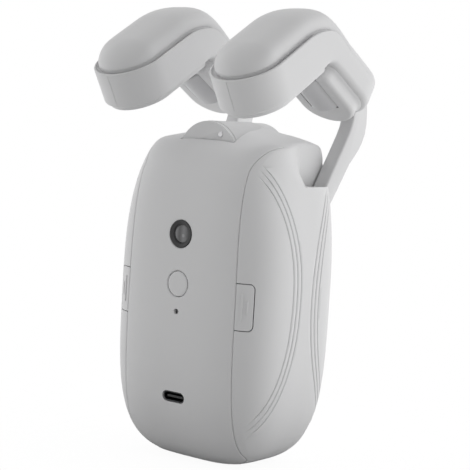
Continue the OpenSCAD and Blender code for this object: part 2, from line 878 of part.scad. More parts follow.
module hook_cap() {
  n = cap_cols + 3;
  points = [for (k = [0 : cap_rows]) each concat(cap_row(k), [cap_base(k)[1], cap_base(k)[0]])];
  sides = [
    for (k = [0 : cap_rows - 1], j = [0 : n - 1], half = [0, 1])
      let (a = k * n + j, b = k * n + (j + 1) % n)
        half == 0 ? [a, b, a + n] : [b, b + n, a + n]
  ];
  ends = [[for (j = [0 : n - 1]) n - 1 - j], [for (j = [0 : n - 1]) cap_rows * n + j]];
  polyhedron(points, concat(sides, ends), convexity = 4);
}

module hook_arm_right() { color(shell_white) hook_arm(); }
module hook_arm_left() { color(shell_white) mirror([1, 0, 0]) hook_arm(); }
module hook_cap_right() { color(shell_white) hook_cap(); }
module hook_cap_left() { color(shell_white) mirror([1, 0, 0]) hook_cap(); }
module roller_plate_right() { color(shell_white) roller_plate(); }
module roller_plate_left() { color(shell_white) mirror([1, 0, 0]) roller_plate(); }
module front_roller_right() { color(shell_white) front_frame() roller(front_axis_h); }
module front_roller_left() { color(shell_white) mirror([1, 0, 0]) front_frame() roller(front_axis_h); }
module rear_roller_right() { color(shell_white) rear_frame() roller(rear_axis_h); }
module rear_roller_left() { color(shell_white) mirror([1, 0, 0]) rear_frame() roller(rear_axis_h); }

module roller_pins() {
  front_frame() pin(front_axis_h);
  rear_frame() pin(rear_axis_h);
}
module roller_pins_right() { color([0.75, 0.75, 0.77]) roller_pins(); }
module roller_pins_left() { color([0.75, 0.75, 0.77]) mirror([1, 0, 0]) roller_pins(); }

// Release latch: a flush ribbed button in the front corner, with a tail behind it

module latch() {
  intersection() {
    body_form(0);
    latch_column(0, latch_depth - latch_travel);
  }
  for (rib = [long_rib, short_rib])
    latch_place() translate([rib[0], 0, -1])
      linear_extrude(1 + latch_rib_out) square([rib_w, rib[1]], center = true);
}
module latch_right() { color(shell_white) latch(); }
module latch_left() { color(shell_white) mirror([1, 0, 0]) latch(); }

front_cover();
main_housing();
top_plate();
wheel_cradle();
wheel_bearings();
motor();
battery_cells();
battery_clip();
main_board();
sensor_module();
sensor_bezel();
sensor_lens();
light_pipe();
key_switch();
usb_shell();
usb_tongue();
arm_guide_left();
arm_guide_right();
cradle_screws();
board_screws();
cheek_screw();
wheel_hub();
wheel_tyre();
wheel_gear();
idler_gear();
motor_pinion();
hook_arm_left();
hook_arm_right();
hook_cap_left();
hook_cap_right();
roller_plate_left();
roller_plate_right();
roller_pins_left();
roller_pins_right();
front_roller_left();
front_roller_right();
rear_roller_left();
rear_roller_right();
latch_left();
latch_right();
push_button();
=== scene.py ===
# %% [markdown]
# A curtain robot hangs from a curtain rod on two roller hooks and drives itself along with a wheel
# in its top. The rigid model is loaded first as a fixed frame. Every shell that shows is then made
# again with its real curves, seams and grooves, and rides on the same body as the solid it replaces.

# %% Load the frame
import bpy
import bmesh
import json
import math
from contextlib import contextmanager
import numpy as np
from mathutils import Matrix, Vector


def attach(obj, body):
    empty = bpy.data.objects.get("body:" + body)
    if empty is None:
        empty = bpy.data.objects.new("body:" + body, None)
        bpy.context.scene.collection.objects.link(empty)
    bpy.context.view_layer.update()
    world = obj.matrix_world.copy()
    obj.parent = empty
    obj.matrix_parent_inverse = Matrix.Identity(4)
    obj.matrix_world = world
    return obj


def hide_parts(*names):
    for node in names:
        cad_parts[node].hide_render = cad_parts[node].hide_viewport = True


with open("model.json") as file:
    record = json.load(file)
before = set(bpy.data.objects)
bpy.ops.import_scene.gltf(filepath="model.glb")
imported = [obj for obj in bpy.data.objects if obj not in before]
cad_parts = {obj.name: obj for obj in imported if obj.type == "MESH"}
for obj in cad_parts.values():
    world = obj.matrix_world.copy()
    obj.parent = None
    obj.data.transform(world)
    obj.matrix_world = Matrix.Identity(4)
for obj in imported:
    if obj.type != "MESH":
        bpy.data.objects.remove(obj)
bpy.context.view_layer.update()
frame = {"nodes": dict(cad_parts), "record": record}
MM = 0.001

# %% [markdown]
# The camera stands where the photographer stood: a little to the right of the front, just above
# the top of the body, with a long lens and a slight lean. A matrix built from the three axes of
# the view is the plainest way to get the lean right.

# %% Camera
AIM = np.array([-0.24, 3.82, 76.0])
TURN, LIFT, LEAN = math.radians(37.757), math.radians(5.13), math.radians(3.5)
AWAY = 509.03
back = np.array([math.sin(TURN) * math.cos(LIFT), -math.cos(TURN) * math.cos(LIFT), math.sin(LIFT)])
level = np.array([math.cos(TURN), math.sin(TURN), 0.0])
upright = np.cross(back, level)
right = math.cos(LEAN) * level + math.sin(LEAN) * upright
top = -math.sin(LEAN) * level + math.cos(LEAN) * upright
lens = bpy.data.cameras.new("photo_lens")
lens.lens, lens.sensor_width, lens.clip_start = 113.07, 36.0, 0.01
camera = bpy.data.objects.new("camera", lens)
place = (AIM + back * AWAY) * MM
camera.matrix_world = Matrix([(*row, p) for row, p in zip(zip(right, top, back), place)] + [(0, 0, 0, 1)])
bpy.context.scene.collection.objects.link(camera)
bpy.context.scene.camera = camera
print("camera at", np.round(place, 4))

# %% [markdown]
# Materials are easier to read as sums than as boxes and wires. One small class stands for a socket,
# and ordinary arithmetic on it adds the Math nodes. Each finish is kept under the name of its slot.

# %% Shader arithmetic
FINISH = {}


def add(tree, kind, inputs=None, **settings):
    """A new node with its settings; an input is a Wire or a socket to link, or else a plain value."""
    made = tree.nodes.new(kind)
    for name, value in settings.items():
        setattr(made, name, value)
    for name, value in (inputs or {}).items():
        value = value.socket if isinstance(value, Wire) else value
        if isinstance(value, bpy.types.NodeSocket):
            tree.links.new(value, made.inputs[name])
        else:
            made.inputs[name].default_value = value
    return made


class Wire:
    """An output socket of a material; arithmetic on it adds Math nodes."""

    def __init__(self, tree, socket):
        self.tree, self.socket = tree, socket

    def node(self, kind, inputs=None, out=0, **settings):
        return Wire(self.tree, add(self.tree, kind, inputs, **settings).outputs[out])

    def maths(self, operation, a, b=0.0):
        return self.node("ShaderNodeMath", {0: a, 1: b}, operation=operation)

    def __add__(self, other):
        return self.maths("ADD", self, other)

    def __radd__(self, other):
        return self.maths("ADD", other, self)

    def __sub__(self, other):
        return self.maths("SUBTRACT", self, other)

    def __rsub__(self, other):
        return self.maths("SUBTRACT", other, self)

    def __mul__(self, other):
        return self.maths("MULTIPLY", self, other)

    def __rmul__(self, other):
        return self.maths("MULTIPLY", other, self)

    def clamp(self):
        return self.node("ShaderNodeClamp", {"Value": self})


def finish_of(name):
    """Starts a material: hands back its shader and a Wire that carries Object coordinates."""
    made = FINISH[name] = bpy.data.materials.new(name)
    made.use_nodes = True
    shader = made.node_tree.nodes["Principled BSDF"]
    coords = add(made.node_tree, "ShaderNodeTexCoord")
    print("finish", name)
    return shader, Wire(made.node_tree, coords.outputs["Object"])


def noise(at, scale, detail=2.0, rough=0.5):
    return at.node("ShaderNodeTexNoise", {"Vector": at, "Scale": scale, "Detail": detail,
                                          "Roughness": rough}, out="Fac")


def stretched(at, *scale):
    return at.node("ShaderNodeMapping", {"Vector": at, "Scale": scale})


def tint(at, mask, dark, light):
    return at.node("ShaderNodeMix", {0: mask, 6: (*dark, 1), 7: (*light, 1)}, out=2, data_type="RGBA")


def shades(at, mask, colour, low, high):
    """The colour, drifting between two shares of its own brightness."""
    return tint(at, mask, [c * low for c in colour], [min(1.0, c * high) for c in colour])


def link(shader, **sockets):
    for name, wire in sockets.items():
        wire.tree.links.new(wire.socket, shader.inputs[name.replace("_", " ")])


def relief(at, height, depth, strength=1.0):
    return at.node("ShaderNodeBump", {"Height": height, "Distance": depth, "Strength": strength})


print("shader helpers ready")

# %% [markdown]
# The shells are light grey plastic from a finely sparked mould. From a step away it is plain matte
# grey; close up it has a grain of about a third of a millimetre, a slow drift in tone where the
# melt flowed, and a gloss that comes and goes a little.

# %% Moulded plastic
def moulded(name, colour, rough=0.5, grain=0.000018, grain_scale=2600.0):
    shader, at = finish_of(name)
    drift = noise(at, 38.0, 3.0)
    fleck = noise(at, grain_scale, 2.0, 0.6)
    pits = noise(at, grain_scale * 0.37, 1.0)
    link(shader, Base_Color=shades(at, (drift * 0.8 + fleck * 0.2).clamp(), colour, 0.965, 1.02),
         Roughness=(drift * 0.08 + fleck * 0.06 + (rough - 0.07)).clamp(),
         Normal=relief(at, fleck * 0.7 + pits * 0.3, grain, 0.6))
    shader.inputs["Specular IOR Level"].default_value = 0.4


moulded("shell_plastic", (0.70, 0.70, 0.705), rough=0.48)
moulded("roller_plastic", (0.60, 0.60, 0.61), rough=0.4, grain=0.00001, grain_scale=1500.0)
moulded("frame_plastic", (0.56, 0.56, 0.57))
moulded("gear_plastic", (0.74, 0.71, 0.62), rough=0.38, grain=0.000008, grain_scale=3200.0)

# %% [markdown]
# The tyre is soft light grey rubber. Rubber scatters light more than plastic and takes fine dust, so
# it is rougher, with a faint lengthwise streak from the mould.

# %% Tyre rubber
def rubber(name, colour):
    shader, at = finish_of(name)
    streak = noise(stretched(at, 1.0, 0.12, 1.0), 900.0, 2.0)
    dust = noise(at, 130.0, 4.0, 0.6)
    link(shader, Base_Color=shades(at, (streak * 0.4 + dust * 0.6).clamp(), colour, 0.94, 1.04),
         Roughness=(dust * 0.15 + 0.62).clamp(),
         Normal=relief(at, streak * 0.6 + dust * 0.4, 0.00003, 0.5))


rubber("tyre_rubber", (0.66, 0.66, 0.665))

# %% [markdown]
# Black gloss plastic rings the sensor and lines the inlet. Dark gloss shows every fine scuff, so the
# roughness carries thin scratches and the colour is not quite black.

# %% Black plastic and smoked lens
def gloss_black(name, colour, rough):
    shader, at = finish_of(name)
    scuff = noise(stretched(at, 1.0, 1.0, 6.0), 1400.0, 3.0)
    cloud = noise(at, 300.0, 2.0)
    link(shader, Base_Color=shades(at, cloud, colour, 0.8, 1.25),
         Roughness=(scuff * 0.16 + (rough - 0.05)).clamp(),
         Normal=relief(at, scuff, 0.000006, 0.4))


gloss_black("black_plastic", (0.018, 0.018, 0.019), rough=0.36)
SENSOR_Z = 77.4


def smoked_lens():
    """The glass lets upright bands of the parts behind it show, and carries one painted spot of light."""
    shader, at = finish_of("lens_plastic")
    across = at.node("ShaderNodeSeparateXYZ", {"Vector": at}, out="X") * 1000.0
    up = at.node("ShaderNodeSeparateXYZ", {"Vector": at}, out="Z") * 1000.0 - SENSOR_Z
    bands = across.maths("SINE", across * 1.7 - 0.2) * 0.5 + 0.5
    far = (across - 0.75) * (across - 0.75) + (up + 0.55) * (up + 0.55)
    # A painted spot of light: a pale round patch in the lens colour, lower right of its middle.
    painted_light_spot = (1.0 - far * 2.2).clamp()
    scuff = noise(at, 900.0, 2.0)
    # The pale share mixes the bands, the painted spot of light and the scuffs.
    pale = (bands * 0.45 + painted_light_spot * 0.6 + scuff * 0.1).clamp()
    link(shader, Base_Color=tint(at, pale, (0.035, 0.035, 0.037), (0.30, 0.30, 0.31)),
         Roughness=(scuff * 0.1 + 0.14).clamp())
    shader.inputs["Coat Weight"].default_value = 0.6


smoked_lens()

# %% [markdown]
# Metal parts are few and small: the inlet's shell, screws and pins. Turned steel has fine rings, and
# a stretched noise gives them without a picture.

# %% Metals
def metal(name, colour, rough):
    shader, at = finish_of(name)
    line = noise(stretched(at, 1.0, 1.0, 14.0), 1600.0, 3.0)
    stain = noise(at, 160.0, 2.0)
    link(shader, Base_Color=shades(at, stain, colour, 0.88, 1.0),
         Roughness=(line * 0.2 + stain * 0.08 + (rough - 0.12)).clamp(),
         Normal=relief(at, line, 0.000008, 0.4))
    shader.inputs["Metallic"].default_value = 1.0


metal("steel", (0.62, 0.62, 0.63), rough=0.3)
metal("dark_steel", (0.1, 0.1, 0.105), rough=0.36)
metal("brass", (0.72, 0.55, 0.26), rough=0.32)

# %% [markdown]
# Two finishes are only seen when the part is opened: the shrink wrap on the cells and the green
# solder mask of the board, whose tracks are a brick pattern of thin lines.

# %% Cell wrap and board
def wrap_finish():
    shader, at = finish_of("cell_wrap")
    fold = noise(stretched(at, 1.0, 1.0, 0.2), 500.0, 2.0)
    link(shader, Base_Color=tint(at, fold, (0.08, 0.22, 0.42), (0.12, 0.3, 0.55)),
         Roughness=(fold * 0.2 + 0.22).clamp(), Normal=relief(at, fold, 0.00004, 0.4))


def board_finish():
    shader, at = finish_of("board")
    flat = at.node("ShaderNodeMapping", {"Vector": at, "Rotation": (math.pi / 2, 0, 0)})
    tracks = at.node("ShaderNodeTexBrick", {"Vector": flat, "Scale": 260.0, "Mortar Size": 0.03,
                                            "Color1": (0, 0, 0, 1), "Color2": (0, 0, 0, 1),
                                            "Mortar": (1, 1, 1, 1)}, out="Fac")
    link(shader, Base_Color=tint(at, tracks, (0.02, 0.14, 0.07), (0.05, 0.24, 0.12)),
         Roughness=(noise(at, 900.0) * 0.2 + 0.25).clamp(), Normal=relief(at, tracks, 0.00003, 0.5))


wrap_finish()
board_finish()
for part in frame["record"]["subparts"]:
    solid = frame["nodes"][part["node"]]
    solid.data.materials.clear()
    solid.data.materials.append(FINISH[part["material_slot"]])

# %% [markdown]
# Every new piece is a mesh in millimetres that is scaled once, shaded smooth, split where it turns
# sharply, and tied to the body and the solid it stands for.

# %% Piece helpers
BODY_OF = {n: b for b, ns in frame["record"]["behaviour"]["bodies"].items() for n in ns}


def shown(name, data):
    """A new object in the scene."""
    made = bpy.data.objects.new(name, data)
    bpy.context.scene.collection.objects.link(made)
    return made


def mesh_object(name, points, faces):
    mesh = bpy.data.meshes.new(name)
    mesh.from_pydata([tuple(float(c) * MM for c in p) for p in points], [], faces)
    return shown(name, mesh)


@contextmanager
def editing(mesh):
    """Opens a mesh for bmesh work and writes it back."""
    bm = bmesh.new()
    bm.from_mesh(mesh)
    yield bm
    bm.to_mesh(mesh)
    bm.free()


def tidy(piece, merge=0.00001, outward=True):
    """Welds points that meet, and turns the faces outward."""
    with editing(piece.data) as bm:
        bmesh.ops.remove_doubles(bm, verts=bm.verts, dist=merge)
        bmesh.ops.dissolve_degenerate(bm, edges=bm.edges, dist=merge * 0.2)
        if outward:
            bmesh.ops.recalc_face_normals(bm, faces=bm.faces)


def smooth(piece, angle):
    with editing(piece.data) as bm:
        for face in bm.faces:
            face.smooth = True
        for edge in bm.edges:
            edge.smooth = len(edge.link_faces) == 2 and edge.calc_face_angle(0.0) < math.radians(angle)


def apply_all(piece):
    """Makes the modifiers' result the piece's own mesh."""
    result = piece.evaluated_get(bpy.context.evaluated_depsgraph_get())
    baked = bpy.data.meshes.new_from_object(result)
    piece.modifiers.clear()
    old = piece.data
    piece.data = baked
    bpy.data.meshes.remove(old)


def carve(piece, tool, operation="DIFFERENCE"):
    cut = piece.modifiers.new("cut", "BOOLEAN")
    cut.object, cut.operation, cut.solver = tool, operation, "MANIFOLD"
    apply_all(piece)
    bpy.data.objects.remove(tool)


def settle(piece, nodes, slot="shell_plastic", angle=38.0):
    """Shades and dresses a piece, and ties it to its body and to the nodes it stands for."""
    smooth(piece, angle)
    piece.data.materials.clear()
    piece.data.materials.append(FINISH[slot])
    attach(piece, BODY_OF[nodes[0]])
    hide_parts(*nodes)
    print(piece.name, len(piece.data.polygons), "faces")


def join(pieces, name):
    mesh = bpy.data.meshes.new(name)
    with editing(mesh) as bm:
        for p in pieces:
            bm.from_mesh(p.data)
            bpy.data.objects.remove(p)
    return shown(name, mesh)


print("helpers ready")

# %% [markdown]
# The body is a barrel: a squarish plan that swells to its widest at mid height, rolls in at the base
# and at the brow, and ends in a crisp shoulder under a low dome. Each level is a superellipse, so the
# whole surface comes from a handful of sizes.

# %% Barrel form
HALF_W, HALF_D, SHOULDER, WIDEST = 34.0, 25.8, 108.0, 60.0
TAPER, CROWN, BROW_RISE, BASE_FLAT = 8.0, 4.4, 2.6, 0.5
PLAN_N, BASE_N, BROW_N, TAPER_N = 3.6, 3.9, 3.8, 2.3
COVER_HALF = 23.0
LIP, GAP, LIP_DEEP = 0.45, 0.05, 0.3
POCKET_WALL, POCKET_Z, POCKET_Y = 21.75, 95.0, 8.1


def level_sizes(z):
    above = max(z - WIDEST, 0.0) / (SHOULDER - WIDEST)
    below = max(WIDEST - z, 0.0) / (WIDEST + BASE_FLAT)
    shrink = (1 - below ** BASE_N) ** (1 / BASE_N)
    brow = max(z - WIDEST, 0.0) / (SHOULDER - WIDEST + BROW_RISE)
    rear = HALF_D * shrink
    front = rear * (1 - brow ** BROW_N) ** (1 / BROW_N)
    return HALF_W * shrink - TAPER * above ** TAPER_N, front, rear


def at_angle(z, t):
    """Point of a level at plan angle t: -90 degrees is the front, 0 the right side, 90 the rear."""
    wide, front, rear = level_sizes(z)
    deep = front if t < 0 else rear
    return (wide * abs(math.cos(t)) ** (2 / PLAN_N),
            math.copysign(deep * abs(math.sin(t)) ** (2 / PLAN_N), t))


def seam_x(z):
    """Half width of the cover: a little less towards the top, and drawn in where the base rolls under."""
    half, limit = COVER_HALF - 0.02 * max(0.0, z - 58.0), 0.95 * level_sizes(z)[0]
    return (half + limit - math.sqrt((half - limit) ** 2 + 0.8)) / 2


def ramp(v, low, high):
    v = min(1.0, max(0.0, (v - low) / (high - low)))
    return v * v * (3 - 2 * v)


print("widest level", np.round(level_sizes(WIDEST), 2))

# %% [markdown]
# On each side two sets of three fine grooves bow towards each other. Grooves can be painted as bump,
# but they catch the light better as real dents, so the columns of the side's grid follow them: five
# columns to a groove, and the level's other columns are shared out between.

# %% Side grooves
GROOVE_HALF, GROOVE_DEEP, GROOVE_FORM = 0.42, 0.36, (0.35, 1.0, 1.0, 0.35, 0.0)
BETWEEN = (12, 2, 2, 10, 2, 2)
FRONT_SET, REAR_SET = (-7.1, -5.05, -3.0), (3.3, 5.35, 7.4)
FRONT_BOW, REAR_BOW, BOW_SPAN = (-11.3, 58.2, 2.15), (13.3, 57.0, 2.2), 40


def groove_y(k, z):
    """A groove's y at a height: its bow gains so many mm at one span from its middle height."""
    start, (gain, middle, power) = (FRONT_SET[k], FRONT_BOW) if k < 3 else (REAR_SET[k - 3], REAR_BOW)
    return start + gain * abs((z - middle) / BOW_SPAN) ** power


def side_columns(z, line):
    """Positions along a level, from the front seam to the middle of the rear, and the dent at each."""
    x, y, run = line
    start = seam_run(z, line)
    seam_y = np.interp(start, run, y)
    rear = level_sizes(z)[2]
    marks = []
    for k in range(6):
        at = groove_y(k, z)
        fade = ramp(at, seam_y + 1.6, seam_y + 5.2) * (1 - ramp(at, 0.62 * rear, 0.8 * rear))
        fade *= 1 - ramp(z, POCKET_Z - 3, POCKET_Z - 0.5) if k > 2 else 1.0
        at = min(max(at, seam_y + 0.9 + 0.5 * k), rear * (0.80 + 0.02 * k))
        half = GROOVE_HALF * (0.25 + 0.75 * fade)
        middle = np.interp(at, y, run)
        marks.append((middle - half, middle + half, fade))
    stops = [start + LIP * away for away in (0.0, 0.15, 0.4, 0.7, 1.0)]
    dents = [0.0] * 5

    def share(to, count):
        begin = stops[-1]
        for i in range(1, count + 1):
            stops.append(begin + (to - begin) * i / count)
            dents.append(0.0)

    for k, (near, far, fade) in enumerate(marks):
        near = max(near, stops[-1] + 0.02)
        far = max(far, near + 0.02)
        share(near, BETWEEN[k])
        for i, deep in enumerate(GROOVE_FORM):
            stops.append(near + (far - near) * (i + 1) / len(GROOVE_FORM))
            dents.append(deep * fade * GROOVE_DEEP)
    share(run[-1], 30)
    return np.array(stops), np.array(dents)


print("groove sets at mid height", FRONT_SET, REAR_SET)

# %% [markdown]
# The grid runs from the base up to the shoulder and on over the dome. Its faces are then dealt out:
# those between the two seams and on the dome make the front cover, the rest the housing. Near the top
# each seam swings back in a rounded corner until it runs along the shoulder. The lips beside a seam
# roll in slightly, which draws it as a fine line.

# %% Barrel grid
SEAM_BEND, SEAM_BEND_Z = 8.2, 98.6
base_levels = [WIDEST * (1 - math.cos(math.radians(90 * k / 44))) for k in range(44)]
side_levels = [WIDEST + k for k in range(36)] + [SHOULDER - 12 * (k / 36) ** 1.25 for k in range(36, -1, -1)]
side_levels = [z for z in side_levels if abs(z - POCKET_Z) > 0.6]
ledge_levels = [POCKET_Z + rise for rise in (-0.5, -0.2, -0.08, -0.02, 0.0, 0.06, 0.2, 0.5)]
LEVELS = base_levels + sorted(side_levels + ledge_levels)
DOME = [0.99, 0.98, 0.965, 0.945, 0.92, 0.89, 0.86, 0.83, 0.8, 0.77, 0.74, 0.7, 0.66, 0.6, 0.5, 0.4, 0.3, 0.2]


def level_line(z):
    """Fine outline of a level from the middle of the front to the middle of the rear: x, y, length so far."""
    x, y = np.array([at_angle(z, t) for t in TURNS]).T
    return x, y, np.concatenate([[0.0], np.cumsum(np.hypot(np.diff(x), np.diff(y)))])


def upright_run(z, line):
    x, y, run = line
    half = len(TURNS) // 2 + 1
    return np.interp(seam_x(z), x[:half], run[:half])


def seam_run(z, line):
    high = min(1.0, max(0.0, (z - SEAM_BEND_Z) / (SHOULDER - SEAM_BEND_Z)))
    return upright_run(z, line) + SEAM_BEND * (1 - math.sqrt(1 - high * high))


quarter = np.linspace(0.0, 1.0, 181)
quarter = quarter ** 1.8 / (quarter ** 1.8 + (1 - quarter) ** 1.8)
TURNS = np.concatenate([quarter - 1, quarter[1:]]) * math.pi / 2
LINES = [level_line(z) for z in LEVELS]
crease = len(LEVELS) - 1
print("levels", len(LEVELS), "seam at the shoulder", round(float(seam_run(SHOULDER, LINES[-1])), 2))

# %% [markdown]
# Each arm's post stands in a pocket at the rear of a side, and a soft hollow leads into it from the
# front. Boolean cuts would leave hard edges here, so the form itself is pressed in: above the ledge no
# point may lie further out than a limit that leaves the skin gently and ends at the post. After that
# every upright line of the form is blurred where it turns over into the dome, most in the middle of
# the front, where the real moulding has no edge at all.

# %% Pockets, shoulder and dome
def hollow(v):
    """Share of the pocket's depth along the hollow: it leaves the skin softly, then runs straight."""
    lead, tail = 0.6, 0.12
    full = 1 - lead / 2 - tail / 2
    if v < lead:
        return v * v / (2 * lead) / full
    if v > 1 - tail:
        return 1 - (1 - v) ** 2 / (2 * tail) / full
    return (v - lead / 2) / full


def pressed_in(x, y, z):
    """The point's x, held inside the pocket's limit."""
    if z < POCKET_Z - 0.001 or x < POCKET_WALL:
        return x
    start = 0.5 - 9.0 * (1 - max(0.0, 1 - (z - POCKET_Z) / 13) ** 1.7)
    share = min(1.0, max(0.0, (y - start) / (POCKET_Y - start)))
    return x - (x - POCKET_WALL) * hollow(share)


def wheel_fillet(x, y):
    """The dome sweeps up beside the wheel."""
    beside = max(0.0, 1 - max(0.0, abs(x) - 6.0) / 4.6) ** 2
    return 1.15 * beside * ramp(y, -16.0, -11.0) * (1 - ramp(y, 13.0, 17.0))


def dome_row(r):
    x, y = LINES[crease][0] * r, LINES[crease][1] * r
    up = np.array([wheel_fillet(*p) for p in zip(x, y)])
    return np.stack([x, y, SHOULDER + CROWN * (1 - r * r) * (1 + 0.5 * y / HALF_D) + up], 1)


def soften(grid):
    """Blurs every upright line near the shoulder, over a spread in mm that grows towards the front."""
    soft = grid.copy()
    weight = np.array([ramp(z, POCKET_Z + 1.5, POCKET_Z + 5) for z in LEVELS] + [1.0] * len(DOME))
    weight[crease + 10:] = np.linspace(1.0, 0.0, len(grid) - crease - 10)
    for c, turn in enumerate(TURNS):
        line = grid[:, c]
        run = np.concatenate([[0.0], np.cumsum(np.linalg.norm(np.diff(line, axis=0), axis=1))])
        fine = np.arange(0.0, run[-1], 0.1)
        width = 0.9 + 2.4 * ramp(-turn, 0.0, 1.2)
        reach = int(30 * width)
        bell = np.exp(-0.5 * (np.arange(-reach, reach + 1) * 0.1 / width) ** 2)
        for k in range(3):
            dense = np.pad(np.interp(fine, run, line[:, k]), reach, "edge")
            blurred = np.interp(run, fine, np.convolve(dense, bell / bell.sum(), "valid"))
            soft[:, c, k] += (blurred - line[:, k]) * weight
    return soft


FORM = [np.stack([x, y, np.full_like(x, z)], 1) for z, (x, y, run) in zip(LEVELS, LINES)]
FORM = np.array(FORM + [dome_row(r) for r in DOME])
FORM = soften(np.array([[(pressed_in(*p), p[1], p[2]) for p in row] for row in FORM]))
print("form", FORM.shape)

# %% [markdown]
# The two pieces then take their own columns from this form: the cover out to the seam, the housing from
# the seam to the rear, each pushed inwards by its lips and grooves. The lowest rows of the front belong
# to the housing, as a toe under the cover's lower edge.

# %% Columns of the two pieces
turned_up = np.cross(np.gradient(FORM, axis=1), np.gradient(FORM, axis=0))
NORMAL = turned_up / (np.linalg.norm(turned_up, axis=2, keepdims=True) + 1e-12)
bend = np.linspace(0.0, 1.0, 60)
SEAM_LINE = np.stack([SEAM_BEND * (1 - np.sqrt(1 - bend ** 2)),
                      SEAM_BEND_Z + (SHOULDER - SEAM_BEND_Z) * bend], 1)
SEAM_LINE = np.concatenate([[(0.0, -1.0)], SEAM_LINE])


def lips(i, stops):
    """Depth of the rolled lips at points of row i, from their distance to the seam."""
    level = min(i, crease)
    z = LEVELS[i] if i <= crease else SHOULDER + level_sizes(SHOULDER)[0] * (1 - DOME[i - crease - 1])
    p = np.stack([stops - upright_run(LEVELS[level], LINES[level]), np.full_like(stops, z)], 1)[:, None]
    begin, step = SEAM_LINE[:-1], np.diff(SEAM_LINE, axis=0)
    share = np.clip(((p - begin) * step).sum(2) / ((step ** 2).sum(1) + 1e-12), 0, 1)
    away = np.linalg.norm(p - begin - share[..., None] * step, axis=2).min(1)
    return np.maximum(0.0, 1 - away / LIP) ** 2 * LIP_DEEP


def on_form(i, stops, dents):
    """Points of row i at lengths along its level, pushed inwards by their dents."""
    run = LINES[min(i, crease)][2]
    index = np.arange(len(run))
    at = np.interp(stops, run, index)
    place = np.stack([np.interp(at, index, FORM[i][:, k]) for k in range(3)], 1)
    out = np.stack([np.interp(at, index, NORMAL[i][:, k]) for k in range(3)], 1)
    return place - out * dents[:, None]


def front_row(i):
    z, line = LEVELS[min(i, crease)], LINES[min(i, crease)]
    edge = seam_run(z, line) - (GAP if i <= crease else 0.0)
    upright = upright_run(z, line) - 1.5
    stops = np.concatenate([np.linspace(0.0, upright, 24)[:-1], np.linspace(upright, edge - LIP, 14),
                            edge - LIP * np.array([0.7, 0.4, 0.15, 0.0])])
    return on_form(i, stops, lips(i, stops))


def side_row(i):
    stops, dents = side_columns(LEVELS[min(i, crease)], LINES[min(i, crease)])
    return on_form(i, stops, dents * (i <= crease) + lips(i, stops))


FRONT = np.array([front_row(i) for i in range(len(FORM))])
SIDE = np.array([side_row(i) for i in range(len(FORM))])
FIRST = 6
FRONT[crease + 1:, -1] = SIDE[crease + 1:, 0]
TOE = FRONT[:FIRST + 1].copy()
TOE[:FIRST, -1] = SIDE[:FIRST, 0]
TOE[FIRST, :, 2] -= 0.15
print("front grid", FRONT.shape, "side grid", SIDE.shape)

# %% [markdown]
# Both halves are mirrored into one ring, faces are made row by row, and each of the two pieces gets
# its wall with Solidify, which builds the inner skin and the rims in one go.

# %% Cover and housing skins
WALL, MIDDLE_Z, STRAY_SHARE = 2.2, 56.0, 0.4


def hold_inside(made, count):
    """Sends stray points of the inner skin straight in, where a pinched face threw them outwards."""
    spots = np.empty(len(made.data.vertices) * 3)
    made.data.vertices.foreach_get("co", spots)
    spots = spots.reshape(-1, 3)
    outer, inner = spots[:count], spots[count:2 * count]
    away = (outer - np.array([0, 0, MIDDLE_Z]) * MM) / (np.array([HALF_W, HALF_D, MIDDLE_Z]) * MM) ** 2
    away /= np.linalg.norm(away, axis=1, keepdims=True)
    stray = ((inner - outer) * away).sum(1) > -STRAY_SHARE * WALL * MM
    inner[stray] = outer[stray] - away[stray] * WALL * MM
    made.data.vertices.foreach_set("co", spots.ravel())
    made.data.update()
    print(made.name, "stray points", int(stray.sum()), "of", count)


def skin(name, patches, closed_base=None):
    points, faces = [], []
    for grid, turn in patches:
        start = len(points)
        rows, cols = grid.shape[:2]
        points += [tuple(p) for row in grid for p in row]
        for i in range(rows - 1):
            for j in range(cols - 1):
                a = start + i * cols + j
                quad = (a, a + 1, a + cols + 1, a + cols)
                faces.append(quad[::-1] if turn else quad)
    if closed_base:
        start = len(points)
        points += closed_base
        faces.append(tuple(range(start + len(closed_base) - 1, start - 1, -1)))
    made = mesh_object(name, points, faces)
    tidy(made, merge=0.000012, outward=False)
    wall = made.modifiers.new("wall", "SOLIDIFY")
    wall.thickness, wall.offset, wall.use_even_offset = WALL * MM, -1.0, False
    count = len(made.data.vertices)
    apply_all(made)
    hold_inside(made, count)
    return made


def mirrored(grid):
    return grid * np.array([-1.0, 1.0, 1.0])


cover = skin("front_cover_shell", [
    (FRONT[FIRST:], False), (mirrored(FRONT[FIRST:]), True),
    (SIDE[crease:], False), (mirrored(SIDE[crease:]), True)])
ring = [tuple(p) for p in TOE[0]] + [tuple(p) for p in SIDE[0][1:]]
base_ring = ring + [(-x, y, z) for x, y, z in ring[-2:0:-1]]
house = skin("side_housing_shell", [
    (SIDE[:crease + 1], False), (mirrored(SIDE[:crease + 1]), True),
    (TOE, False), (mirrored(TOE), True)], base_ring)
print("cover", len(cover.data.polygons), "housing", len(house.data.polygons))

# %% [markdown]
# Below its ledge each pocket goes on as a slot in the body, in which the arm's stem slides. Its tool is a
# prism, the simplest stack of outlines. Both sides are cut at once by joining it with its mirror image.

# %% Slots for the posts
def stacked(name, rows, lids=True, loop=False):
    """A closed solid from a stack of closed outlines: with lids, shrunk to a line at both ends, or a loop."""
    n, last = len(rows[0]), len(rows) - 1
    faces = [tuple(range(n - 1, -1, -1)), tuple(range(last * n, last * n + n))] if lids else []
    pairs = [(i, i + 1) for i in range(last)] + ([(last, 0)] if loop else [])
    faces += [(i * n + j, i * n + (j + 1) % n, k * n + (j + 1) % n, k * n + j)
              for i, k in pairs for j in range(n)]
    made = mesh_object(name, [q for row in rows for q in row], faces)
    tidy(made)
    return made


def prism(outline, low, high, place, name):
    """A closed prism over a 2-D outline; place turns (a, b, height) into x, y, z."""
    return stacked(name, [[place(a, b, h) for a, b in outline] for h in (low, high)])


